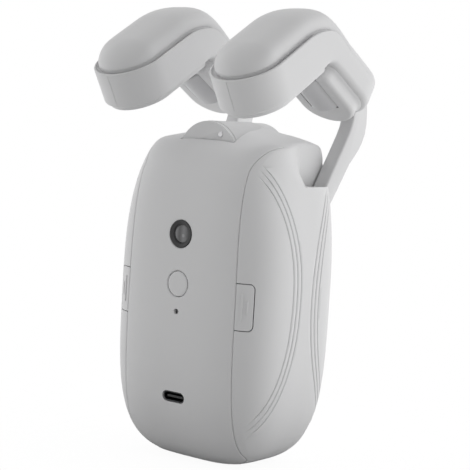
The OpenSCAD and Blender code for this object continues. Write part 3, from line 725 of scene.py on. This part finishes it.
def mirror_copy(piece, name):
    """The left-hand twin of a right-hand piece."""
    twin = shown(name, piece.data.copy())
    twin.data.transform(Matrix.Scale(-1, 4, (1, 0, 0)))
    twin.data.flip_normals()
    return twin


def both(piece):
    """A right-hand piece and its mirror image, in one object."""
    return join([piece, mirror_copy(piece, "twin")], piece.name + "_pair")


def sideways(y, z, x):
    return x, y, z


def slot_tool():
    """Room for the stem and the leaning post, drawn as seen from the side."""
    outline = [(POCKET_Y, 76.0), (15.9, 76.0), (15.9, 82.4), (46.6, 122.4), (POCKET_Y, 122.4)]
    return prism(outline, POCKET_WALL - 0.15, 28.15, sideways, "slot_tool")


for piece in (house, cover):
    carve(piece, both(slot_tool()))
print("slots cut")

# %% [markdown]
# A release latch sits flush in each front corner, against the seam. It is the same curved skin as the
# housing, cut free along a rounded outline, so its curve always matches. Its opening is cut a little
# larger, so that the gap reads as a line.

# %% Latches
def unit(angle):
    """Cosine and sine of an angle in degrees."""
    angle = math.radians(angle)
    return math.cos(angle), math.sin(angle)


def arc(a, b, r, angles):
    """Points of a flat arc round (a, b), at angles in degrees."""
    return [(a + r * c, b + r * s) for c, s in map(unit, angles)]


LATCH_MID, LATCH_Z, (ALONG_X, ALONG_Y) = 25.52, 56.0, unit(28)
LATCH_W, LATCH_H, LATCH_R, LATCH_GAP, PAST_SEAM = 6.6, 15.0, 1.6, 0.3, 1.2


def latch_outline(grow):
    """Rounded rectangle in the latch's own plane; its seam side is square and runs past the seam."""
    w, h, r = LATCH_W / 2 + grow, LATCH_H / 2 + grow, LATCH_R + grow
    right_side = arc(w - r, r - h, r, range(-80, 1, 10)) + arc(w - r, h - r, r, range(0, 91, 10))
    return [(-w - PAST_SEAM, -h), (w - r, -h)] + right_side + [(-w - PAST_SEAM, h)]


latch_front = -HALF_D * (1 - (LATCH_MID / HALF_W) ** PLAN_N) ** (1 / PLAN_N)


def latch_place(a, b, out):
    """From the latch's plane (across, up, outward) to the right-hand corner of the body."""
    return (LATCH_MID + a * ALONG_X + out * ALONG_Y, latch_front + a * ALONG_Y - out * ALONG_X, LATCH_Z + b)


def latch_tool(grow):
    return prism(latch_outline(grow), -6.0, 8.0, latch_place, "latch_tool")


skin_copy = shown("latch_skin", house.data.copy())
carve(skin_copy, latch_tool(0.0), "INTERSECT")
tidy(skin_copy, merge=0.00002)
carve(house, both(latch_tool(LATCH_GAP)))
print("latch skin", len(skin_copy.data.polygons), "faces")

# %% [markdown]
# The finger ribs come from Geometry Nodes: a rounded bar is instanced on a row of points, and number,
# spacing and size are inputs that can be changed later. A latch has a long rib and a short one.

# %% Ribs with Geometry Nodes
def row_of_bars():
    """Bars in a row along X: each a block with rounded edges, all of one size."""
    group = bpy.data.node_groups.new("row_of_bars", "GeometryNodeTree")
    for label, kind in (("Geometry", "Geometry"), ("Count", "Int"), ("Spacing", "Float"), ("Size", "Vector"),
                        ("Finish", "Material")):
        group.interface.new_socket(label, in_out="INPUT", socket_type="NodeSocket" + kind)
    group.interface.new_socket("Geometry", in_out="OUTPUT", socket_type="NodeSocketGeometry")
    given = add(group, "NodeGroupInput").outputs
    line = add(group, "GeometryNodeMeshLine", {"Count": given["Count"]}, mode="OFFSET")
    step = add(group, "ShaderNodeCombineXYZ", {"X": given["Spacing"]})
    group.links.new(step.outputs[0], line.inputs["Offset"])
    bar = add(group, "GeometryNodeMeshCube",
              {"Size": given["Size"], "Vertices X": 4, "Vertices Y": 4, "Vertices Z": 10})
    soft = add(group, "GeometryNodeSubdivisionSurface", {"Mesh": bar.outputs["Mesh"], "Level": 2})
    placed = add(group, "GeometryNodeInstanceOnPoints",
                 {"Points": line.outputs["Mesh"], "Instance": soft.outputs["Mesh"]})
    real = add(group, "GeometryNodeRealizeInstances", {"Geometry": placed.outputs["Instances"]})
    dressed = add(group, "GeometryNodeSetMaterial",
                  {"Geometry": real.outputs["Geometry"], "Material": given["Finish"]})
    add(group, "NodeGroupOutput", {"Geometry": dressed.outputs["Geometry"]})
    return group


BARS = row_of_bars()


def bars(name, count, spacing, size, finish):
    """Runs the group with its own values and hands back a plain mesh object."""
    made = mesh_object(name, [(0, 0, 0), (0.01, 0, 0), (0, 0.01, 0)], [(0, 1, 2)])
    maker = made.modifiers.new("row", "NODES")
    maker.node_group = BARS
    sockets = {i.name: i.identifier for i in BARS.interface.items_tree if i.in_out == "INPUT"}
    values = {"Count": count, "Spacing": spacing * MM, "Size": tuple(c * MM for c in size), "Finish": finish}
    for label, value in values.items():
        maker[sockets[label]] = value
    made.data.update()
    apply_all(made)
    return made


def put(piece, origin, x_axis, y_axis, z_axis):
    """Moves the mesh itself, so the object stays unmoved at the origin."""
    turn = Matrix((x_axis, y_axis, z_axis)).transposed().to_4x4()
    piece.data.transform(Matrix.Translation(Vector(origin) * MM) @ turn)


def latch_ribs():
    axes = (ALONG_X, ALONG_Y, 0), (-ALONG_Y, ALONG_X, 0), (0, 0, 1)
    ribs = []
    for across, rise, length in ((-0.55, 0.1, 9.0), (1.25, 0.0, 4.6)):
        rib = bars("rib", count=1, spacing=1.0, size=(0.62, 0.55, length), finish=FINISH["shell_plastic"])
        put(rib, latch_place(across, rise, 0.02 - 0.1 * abs(across)), *axes)
        ribs.append(rib)
    return join(ribs, "ribs")


def settle_pair(right_piece, node, **how):
    """Settles a right-hand piece and its mirror image; names say right or left."""
    left_piece = mirror_copy(right_piece, right_piece.name.replace("right", "left"))
    settle(right_piece, [node], **how)
    settle(left_piece, [node.replace("right", "left")], **how)


settle_pair(join([skin_copy, latch_ribs()], "latch_right_shell"), "latch_right")

# %% [markdown]
# The front carries, from the top down, a sensor, a button, a pinhole for a light and the charging
# inlet. Their holes are cut through the cover in one go each, with round or stadium-shaped tools. The
# round ones come from a lathe: a profile of distance along an axis and radius, spun round that axis.

# %% Holes in the front and the wheel slot
BUTTON_Z, PINHOLE_Z, INLET_Z, WHEEL_Z = 60.8, 51.6, 22.8, 102.1
FORWARD, BACKWARD = (0, -1, 0), (0, 1, 0)


def lathe(name, profile, centre, along, steps=96):
    """Spins (distance along, radius) pairs about an axis through centre; the axis is square to X."""
    centre, along, across = np.array(centre, float), np.array(along, float), np.array([1.0, 0.0, 0.0])
    third = np.cross(along, across)
    turns = [2 * math.pi * k / steps for k in range(steps)]
    rows = [[centre + along * d + (across * math.cos(a) + third * math.sin(a)) * r for a in turns]
            for d, r in profile]
    return stacked(name, rows, lids=False, loop=profile[0][1] >= 1e-6)


def rod(name, r, low, high, centre, along, steps=96):
    """A plain cylinder between two distances along its axis."""
    return lathe(name, [(low, 0.0), (low, r), (high, r), (high, 0.0)], centre, along, steps)


def hole(z, r):
    return rod("hole", r, 0, 30, (0, -40, z), BACKWARD)


def stadium(w, h, steps=16):
    turns = [-90 + 180 * k / steps for k in range(steps + 1)]
    side = w / 2 - h / 2
    return arc(side, 0, h / 2, turns) + arc(-side, 0, h / 2, [t + 180 for t in turns])


def countersink(z, r, wide):
    """A shallow cone that takes the sharp edge off a hole in the front."""
    face = -level_sizes(z)[1]
    cone = [(0, 0), (0, r + wide * 2), (wide * 2, r), (wide * 2, 0)]
    return lathe("cone", cone, (0, face - wide, z), BACKWARD)


for z, r, wide in ((SENSOR_Z, 4.72, 0.12), (BUTTON_Z, 4.38, 0.28), (PINHOLE_Z, 0.9, 0.15)):
    carve(cover, hole(z, r))
    carve(cover, countersink(z, r, wide))
carve(cover, prism(stadium(9.5, 3.7), -40, -10, lambda a, b, h: (a, h, INLET_Z + b), "inlet_tool"))
carve(cover, rod("wheel_room", 13.02, 0, 29.75, (0, -14.95, WHEEL_Z), BACKWARD, steps=160))
settle(cover, ["front_cover", "top_plate"])
settle(house, ["main_housing"])

# %% [markdown]
# A hook is one thick strap with round ends, bent over the rod. It is easiest to draw flat: outlines of
# the strap at rising heights, each with its own inset, then one function bends every point. In front
# a padded cap stands on the rim behind a step; past the crest the step fades and the strap's own
# edges turn soft, so the heights and insets slide from one set of values to the other.

# %% Bent strap
APEX_Y, APEX_Z, SLOPE, LEG_T, ARM_X, STRAP = 1.0, 136.5, math.radians(30.5), 12.5, 25.0, 13.0
CREST_R, INNER_R = 28.0, 4.0
HALF_ARC = CREST_R * SLOPE
BEND_U = (CREST_R - LEG_T) * math.tan(SLOPE)
NOSE, TAIL = HALF_ARC + 38.2 - BEND_U, -(HALF_ARC + 34.0 - BEND_U)
CREST_Z = APEX_Z + (LEG_T - CREST_R) / math.cos(SLOPE)
INNER_Z = APEX_Z - INNER_R / math.cos(SLOPE)
INNER_U = INNER_R * math.tan(SLOPE)


def leg_point(side, u, h):
    return np.array([APEX_Y + side * (u * math.cos(SLOPE) + h * math.sin(SLOPE)),
                     APEX_Z - u * math.sin(SLOPE) + h * math.cos(SLOPE)])


def bent(s, h):
    """From the flat strap (along, height) to y and z; the nose is at positive s and points forward."""
    side, d = (-1.0 if s >= 0 else 1.0), abs(s)
    if d >= HALF_ARC:
        return leg_point(side, BEND_U + d - HALF_ARC, h)
    turn = d / CREST_R
    out = np.array([side * math.sin(turn), math.cos(turn)])
    above = np.array([APEX_Y, CREST_Z]) + CREST_R * out
    if h >= LEG_T:
        return above + out * (h - LEG_T)
    walk = d / HALF_ARC * (BEND_U - INNER_U + INNER_R * SLOPE)
    if walk < INNER_R * SLOPE:
        a = walk / INNER_R
        under = np.array([APEX_Y + side * INNER_R * math.sin(a), INNER_Z + INNER_R * math.cos(a)])
    else:
        under = leg_point(side, INNER_U + walk - INNER_R * SLOPE, 0.0)
    return under + (above - under) * h / LEG_T


def strap_outline():
    """Points round the flat strap, with a few close together on the middle of the nose."""
    fine = [-2.2, -1.1, -0.5, 0.0, 0.5, 1.1, 2.2]
    nose = [-90 + 6 * k for k in range(15)] + fine + [90 - 6 * k for k in range(14, -1, -1)]
    tail = [90 + 6 * k for k in range(31)]

    def edge(start, stop, v):
        steps = 96
        return [(start + (stop - start) * k / steps, v) for k in range(1, steps)]
    near, far = NOSE - STRAP, TAIL + STRAP
    ends = arc(near, 0.0, STRAP, nose), arc(far, 0.0, STRAP, tail)
    return ends[0] + edge(near, far, STRAP) + ends[1] + edge(far, near, -STRAP)


EDGE = strap_outline()
print("strap outline", len(EDGE), "points, nose", round(NOSE, 2), "tail", round(TAIL, 2))

# %% [markdown]
# The shell's wall starts with a rounded lower edge, small in front and wide behind, and ends at the
# rim. A hair line down the middle of the nose marks where the two mould halves met.

# %% Hook shell and cap
RIM_LOW, MOULD_LINE = 8.3, 0.22
RIM_GROOVE = ((0.12, 0.02), (0.28, 0.12), (0.45, 0.4), (0.6, 0.62), (0.85, 0.74), (1.7, 0.78))
CAP_NECK = ((0.22, -0.9), (0.22, 0.2), (0.19, 0.32), (0.11, 0.42), (0.04, 0.48))


def front_share(s):
    return ramp(s, -13.0, 3.0)


def rim_height(s):
    return RIM_LOW + (LEG_T - RIM_LOW) * front_share(s)


def strap_level(inset_of, height_of, mould_line=False):
    """One outline of the strap with inset and height chosen point by point."""
    level = []
    for s0, v0 in EDGE:
        inset = inset_of(s0)
        middle = min(max(s0, TAIL + STRAP), NOSE - STRAP)
        if middle == s0:
            s, v = s0, math.copysign(STRAP - inset, v0)
        else:
            k = (STRAP - inset) / STRAP
            s, v = middle + (s0 - middle) * k, v0 * k
        if mould_line and abs(v) < 0.06:
            s -= MOULD_LINE
        y, z = bent(s, height_of(s0))
        level.append((ARM_X + v, y, z))
    return level


def mix(front, rear):
    return lambda s: rear + (front - rear) * front_share(s)


def hook_shell():
    """A lower edge that widens to the rear, the wall, a rounded rim and the groove behind it."""
    levels = [strap_level(lambda s: STRAP, lambda s: 0.0)]
    low, edge = (lambda s: 2.4 - 1.7 * ramp(s, -6.0, 14.0)), mix(0.45, 0.03)
    for cos, sin in map(unit, range(0, 91, 10)):
        levels.append(strap_level(lambda s: low(s) * (1 - sin), lambda s: low(s) * (1 - cos)))
    for share in (0.33, 0.66, 1.0):
        levels.append(strap_level(lambda s: 0.0,
                                  lambda s: low(s) + (rim_height(s) - edge(s) - low(s)) * share, True))
    for cos, sin in map(unit, range(15, 91, 15)):
        levels.append(strap_level(lambda s: edge(s) * (1 - cos),
                                  lambda s: rim_height(s) - edge(s) * (1 - sin)))
    for inset, drop in RIM_GROOVE:
        levels.append(strap_level(lambda s: edge(s) + inset * front_share(s) + 0.01 * drop,
                                  lambda s: rim_height(s) - drop * front_share(s) - 0.02 * drop))
    levels += [strap_level(lambda s: inset, lambda s: rim_height(s) - 1.6) for inset in (4.0, STRAP)]
    return stacked("hook_shell", levels, lids=False)


def hook_cap():
    """A padded top: a neck that stands in the groove, then a dome with full sides."""
    inset, rise, side = mix(1.95, 0.0), mix(6.9, 4.5), mix(2.8, 2.6)
    under, foot = mix(-1.3, -0.2), mix(0.55, 0.0)

    def power(s):
        return side(s) - 0.9 * ramp(s, NOSE - STRAP - 4.0, NOSE - 3.0)

    def dome(s, rho):
        return foot(s) + (rise(s) - foot(s)) * max(0.0, 1 - rho ** power(s)) ** (1 / power(s))
    levels = [strap_level(lambda s: STRAP, lambda s: rim_height(s) + under(s)),
              strap_level(lambda s: inset(s) + 0.9, lambda s: rim_height(s) + under(s))]
    for neck, height in CAP_NECK:
        levels.append(strap_level(lambda s: inset(s) + neck * front_share(s),
                                  lambda s: rim_height(s) + height * front_share(s)))
    for k in range(0, 27):
        rho = math.cos(math.radians(90 * k / 27))
        levels.append(strap_level(lambda s: inset(s) + (STRAP - inset(s)) * (1 - rho),
                                  lambda s: rim_height(s) + dome(s, rho)))
    levels.append(strap_level(lambda s: STRAP, lambda s: rim_height(s) + rise(s)))
    return stacked("hook_right_cap", levels, lids=False)


print("hook levels ready")

# %% [markdown]
# The post is a flat bar that leaves the pocket, leans back and turns up into the tail of the hook. Its
# outline is drawn from the side with a few curves, extruded, and its long edges are rounded.

# %% Post
POST_HALF, ROLLER_U = 2.75, 12.5
ROLLER_H = {1.0: 0.2, -1.0: 3.8}


def post_outline():
    """The post from the side, as (y, z): up its front, over the top and down its rear."""
    front_line = [(8.5, 36.0), (8.5, 81.5), (9.2, 83.7), (16.6, 95.0), (28.0, 112.3), (29.6, 115.2),
                  (30.6, 118.2), (31.0, 121.5)]
    rear_line = [(37.2, 128.5), (38.6, 124.5), (39.15, 120.5), (39.2, 116.5), (38.6, 113.0), (37.2, 110.2),
                 (35.2, 107.4), (32.8, 105.0), (30.0, 102.4), (25.2, 95.8), (16.3, 83.8), (15.5, 81.6),
                 (15.5, 36.0)]
    return front_line + [(32.0, 127.0)] + rear_line


def soft_edges(piece, width, segments, angle):
    edge = piece.modifiers.new("soft", "BEVEL")
    edge.width, edge.segments, edge.limit_method = width * MM, segments, "ANGLE"
    edge.angle_limit = math.radians(angle)
    apply_all(piece)


def post():
    made = prism(post_outline(), ARM_X - POST_HALF, ARM_X + POST_HALF, sideways, "post")
    soft_edges(made, width=0.7, segments=4, angle=60.0)
    return made


def roller_line(lean):
    """Middle and direction of the roller under a leg: lean is 1 for the rear leg and -1 for the front."""
    y, z = leg_point(lean, ROLLER_U, ROLLER_H[lean])
    return np.array([ARM_X, y, z]), (0.0, lean * math.cos(SLOPE), -math.sin(SLOPE))


def roller_bore(lean):
    return rod("bore", 7.6, -8.5, 8.5, *roller_line(lean), steps=72)


shell = hook_shell()
for lean in (1.0, -1.0):
    carve(shell, roller_bore(lean))
print("strap with its bores", len(shell.data.polygons), "faces")
settle_pair(join([shell, post()], "hook_right_strap"), "hook_arm_right")
settle_pair(hook_cap(), "hook_cap_right", angle=60.0)

# %% [markdown]
# Under each leg a plate holds a roller. The rear plate stands proud and spreads softly into the strap,
# the front one is nearly flush, and both are stacks of outlines with the roller's bore carved out. The
# wheel's cheeks are the solid's own form with a small bevel, which takes a weld and a bevel by angle.

# %% Plates and cheeks
REAR_PLATE = {"lean": 1.0, "start": 2.2, "end": 31.0, "half": 10.0, "deep": 4.8, "edge": 1.6, "flare": 1.9}
FRONT_PLATE = {"lean": -1.0, "start": 1.0, "end": 36.7, "half": 11.5, "deep": 1.7, "edge": 0.4, "flare": 0.05}
PLATE_CORNER = 4.0


def rounded(node, name, width):
    """The solid's own form, with its edges rounded."""
    solid = frame["nodes"][node]
    made = shown(name, solid.data.copy())
    made.data.transform(solid.matrix_world)
    tidy(made, merge=0.000004)
    with editing(made.data) as bm:
        bmesh.ops.dissolve_limit(bm, angle_limit=math.radians(0.6), verts=bm.verts, edges=bm.edges)
    soft_edges(made, width, segments=3, angle=35.0)
    settle(made, [node], angle=30.0)


def leg_plate(lean, start, end, half, deep, edge, flare):
    """A plate under a leg, half round at its far end, with the roller's bore in it."""
    def outline(d, h):
        r, c = half - d, max(PLATE_CORNER - d, 0.4)
        flat = arc(end - half, 0.0, r, range(-90, 91, 5))
        flat += arc(start + d + c, r - c, c, range(90, 181, 10))
        flat += arc(start + d + c, c - r, c, [*range(181, 271, 10), 270])
        return [(ARM_X + v, *leg_point(lean, u, h)) for u, v in flat]
    turns = [unit(a) for a in range(0, 91, 15)]
    levels = [outline(-flare * 0.8, 0.8)]
    levels += [outline(-flare * (1 - s), -flare * (1 - c)) for c, s in turns[2:]]
    levels += [outline(edge * (1 - c), -deep + edge * (1 - s)) for c, s in turns]
    made = stacked("leg_plate", levels)
    carve(made, roller_bore(lean))
    return made


plates = [leg_plate(**sizes) for sizes in (REAR_PLATE, FRONT_PLATE)]
settle_pair(join(plates, "plate_right"), "roller_plate_right")
rounded("wheel_cradle", "wheel_cheeks", width=0.25)
screw_profile = [(-4.0, 0), (-4.0, 0.78), (-0.05, 0.78), (-0.05, 1.0), (0.15, 1.0), (0.24, 0.92),
                 (0.29, 0.7), (0.31, 0.35), (0.31, 0)]
screw = lathe("cheek_screw_head", screw_profile, (5.2, -14.4, 110.7), FORWARD, steps=48)
settle(screw, ["cheek_screw"], "steel", angle=40.0)

# %% [markdown]
# The rollers are short smooth drums with rounded ends, turned on the same lathe as the holes' tools. It
# turns the tyre, the button and the sensor's rings too.

# %% Rollers, tyre and button
def drum(name, centre, along, length, r, bore, edge):
    """A drum with rounded rims and a bore."""
    half = length / 2
    rim = [(edge * (1 - c), r - edge + edge * s) for c, s in map(unit, range(15, 90, 15))]
    profile = [(-half, bore), (-half, r - edge)] + [(-half + d, q) for d, q in rim]
    profile += [(k / 6 * (half - edge), r) for k in range(-6, 7)]
    profile += [(half - d, q) for d, q in rim[::-1]] + [(half, r - edge), (half, bore)]
    return lathe(name, profile, centre, along)


for side, x in (("right", ARM_X), ("left", -ARM_X)):
    for leg, lean in (("front", -1.0), ("rear", 1.0)):
        middle, along = roller_line(lean)
        middle[0] = x
        node = leg + "_roller_" + side
        roller = drum(node + "_drum", middle, along, length=16.2, r=7.2, bore=1.55, edge=0.5)
        settle(roller, [node], "roller_plastic", angle=40.0)
tyre = drum("wheel_tyre_sleeve", (0, -2.375, WHEEL_Z), BACKWARD, length=20.75, r=12.9, bore=11.6, edge=0.2)
settle(tyre, ["wheel_tyre"], "tyre_rubber", angle=40.0)

knob_profile = [(-3.0, 0), (-3.0, 4.2), (-0.42, 4.2), (-0.2, 4.13), (-0.06, 3.98), (0.0, 3.75), (0.02, 3.4),
                (0.0, 2.0), (-0.01, 0)]
knob = lathe("button_cap", knob_profile, (0, -25.75, BUTTON_Z), FORWARD)
knob_rim = drum("button_rim", (0, -22.7, BUTTON_Z), BACKWARD, length=1.0, r=5.2, bore=1.0, edge=0.15)
knob_tail = drum("button_tail", (0, -20.9, BUTTON_Z), BACKWARD, length=2.6, r=1.5, bore=0.2, edge=0.15)
settle(join([knob, knob_rim, knob_tail], "button_cap"), ["push_button"], angle=40.0)

# %% [markdown]
# The sensor is a black ring let into the cover, with a stepped funnel down to a smoked lens. The lens
# is a low dome; its finish shows the bands of the parts behind it and a painted spot of light.

# %% Sensor
sensor_face = -level_sizes(SENSOR_Z)[1]


def turned(name, profile, node, slot):
    settle(lathe(name, profile, (0, sensor_face, SENSOR_Z), FORWARD), [node], slot, angle=28.0)


ring_profile = [(-3.4, 4.65), (-0.05, 4.65), (0.1, 4.6), (0.18, 4.45), (0.18, 4.25), (0.08, 4.1),
                (-0.22, 3.5), (-0.3, 3.3), (-0.55, 3.2), (-0.6, 3.0), (-3.4, 3.0)]
glass_profile = [(-3.4, 0.0), (-3.4, 2.95), (-0.72, 2.95), (-0.62, 2.8), (-0.56, 2.5), (-0.5, 2.0),
                 (-0.44, 1.3), (-0.41, 0.6), (-0.4, 0.0)]
turned("sensor_ring", ring_profile, "sensor_bezel", "black_plastic")
turned("sensor_glass", glass_profile, "sensor_lens", "lens_plastic")

# %% [markdown]
# The inlet is a thin folded steel tube, a band of stadium outlines that closes on itself. The tongue
# inside it is the solid's own.

# %% Charging inlet
inlet_face = -level_sizes(INLET_Z)[1]


def inlet_tube():
    """Rings of (width, height, depth behind the face): out, round the back, in and over the lip."""
    rings = [(9.0, 3.2, 0.45), (9.0, 3.2, 6.0), (8.4, 2.6, 6.0), (8.4, 2.6, 0.45), (8.6, 2.8, 0.35),
             (8.8, 3.0, 0.35)]
    rows = [[(a, inlet_face + d, INLET_Z + b) for a, b in stadium(w, h)] for w, h, d in rings]
    return stacked("inlet_tube", rows, lids=False, loop=True)


settle(inlet_tube(), ["usb_shell"], "dark_steel", angle=30.0)

# %% [markdown]
# The light is a ring of tall soft boxes painted into the world: each is a soft lobe round a heading, in
# three tiers, strong at the left front and the right rear and weak in front. The world is plain white to
# the camera and in reflections. One small lamp under the hooks lifts the crown, which they shade.

# %% Soft boxes
SOFT_BOXES = {"front": (-90, 0.1), "right front": (-45, 0.1), "right": (0, 0.95), "right rear": (45, 1.2),
              "rear": (90, 0.5), "left rear": (135, 0.3), "left": (180, 0.8), "left front": (225, 1.1)}
TIERS = {"low": (-40, 0.55), "level": (0, 1.0), "high": (40, 0.6)}
FALL_OFF = 6.0

fill = bpy.data.lights.new("crown_fill", "AREA")
fill.shape, fill.size, fill.size_y = "RECTANGLE", 0.016, 0.05
fill.energy, fill.spread = 0.0016, math.radians(95)
crown_lamp = shown("crown_fill", fill)
crown_lamp.location = (0.0, -0.002, 0.15)
crown_lamp.visible_camera = False

world = bpy.data.worlds.new("studio")
bpy.context.scene.world = world
world.use_nodes = True
sky = world.node_tree.nodes["Background"]
paths = add(world.node_tree, "ShaderNodeLightPath")
seen, shine, through = (Wire(world.node_tree, paths.outputs[name])
                        for name in ("Is Camera Ray", "Is Glossy Ray", "Is Transmission Ray"))
ray = Wire(world.node_tree, add(world.node_tree, "ShaderNodeTexCoord").outputs["Generated"])
glow = seen * 0.0
for heading, power in SOFT_BOXES.values():
    for tilt, share in TIERS.values():
        (x, y), (flat, up) = unit(heading), unit(tilt)
        to_box = (flat * x, flat * y, up)
        lobe = ray.node("ShaderNodeVectorMath", {0: ray, 1: to_box}, "Value", operation="DOT_PRODUCT").clamp()
        glow = glow + lobe.maths("POWER", lobe, FALL_OFF) * (power * share)
white = (seen + shine + through).clamp()
bright = white + (1 - white) * glow
world.node_tree.links.new(bright.socket, sky.inputs["Strength"])
sky.inputs["Color"].default_value = (1, 1, 1, 1)
bpy.context.scene.view_settings.view_transform = "Standard"
print("soft boxes", len(SOFT_BOXES), "in", len(TIERS), "tiers")

# %% [markdown]
# The floor is pale paper that keeps a faint shadow. It is almost white to the camera and fades out
# round the object, so that no edge of it shows.

# %% Floor
HALF_FLOOR, FLOOR_Z = 260, -0.3
corners = [(-1, -1), (1, -1), (1, 1), (-1, 1)]
floor = mesh_object("floor", [(HALF_FLOOR * a, HALF_FLOOR * b, FLOOR_Z) for a, b in corners], [(0, 1, 2, 3)])
shader, at = finish_of("floor_paper")
pale = FINISH["floor_paper"]
shader.inputs["Base Color"].default_value = (0.55, 0.55, 0.55, 1)
shader.inputs["Roughness"].default_value = 0.9
plain_white = at.node("ShaderNodeEmission", {"Color": (1, 1, 1, 1), "Strength": 1.1})
sight = at.node("ShaderNodeLightPath", out="Is Camera Ray")
lit = Wire(pale.node_tree, shader.outputs[0])
paper = at.node("ShaderNodeMixShader", {0: sight * 0.86, 1: lit, 2: plain_white})
clear = at.node("ShaderNodeBsdfTransparent")
reach = at.node("ShaderNodeVectorMath", {0: at}, "Value", operation="LENGTH")
fade = (1.6 - reach * 12.0).clamp()
blend = at.node("ShaderNodeMixShader", {0: fade, 1: clear, 2: paper})
pale.node_tree.links.new(blend.socket, pale.node_tree.nodes["Material Output"].inputs["Surface"])
floor.data.materials.append(pale)
print("floor", 2 * HALF_FLOOR, "mm wide")
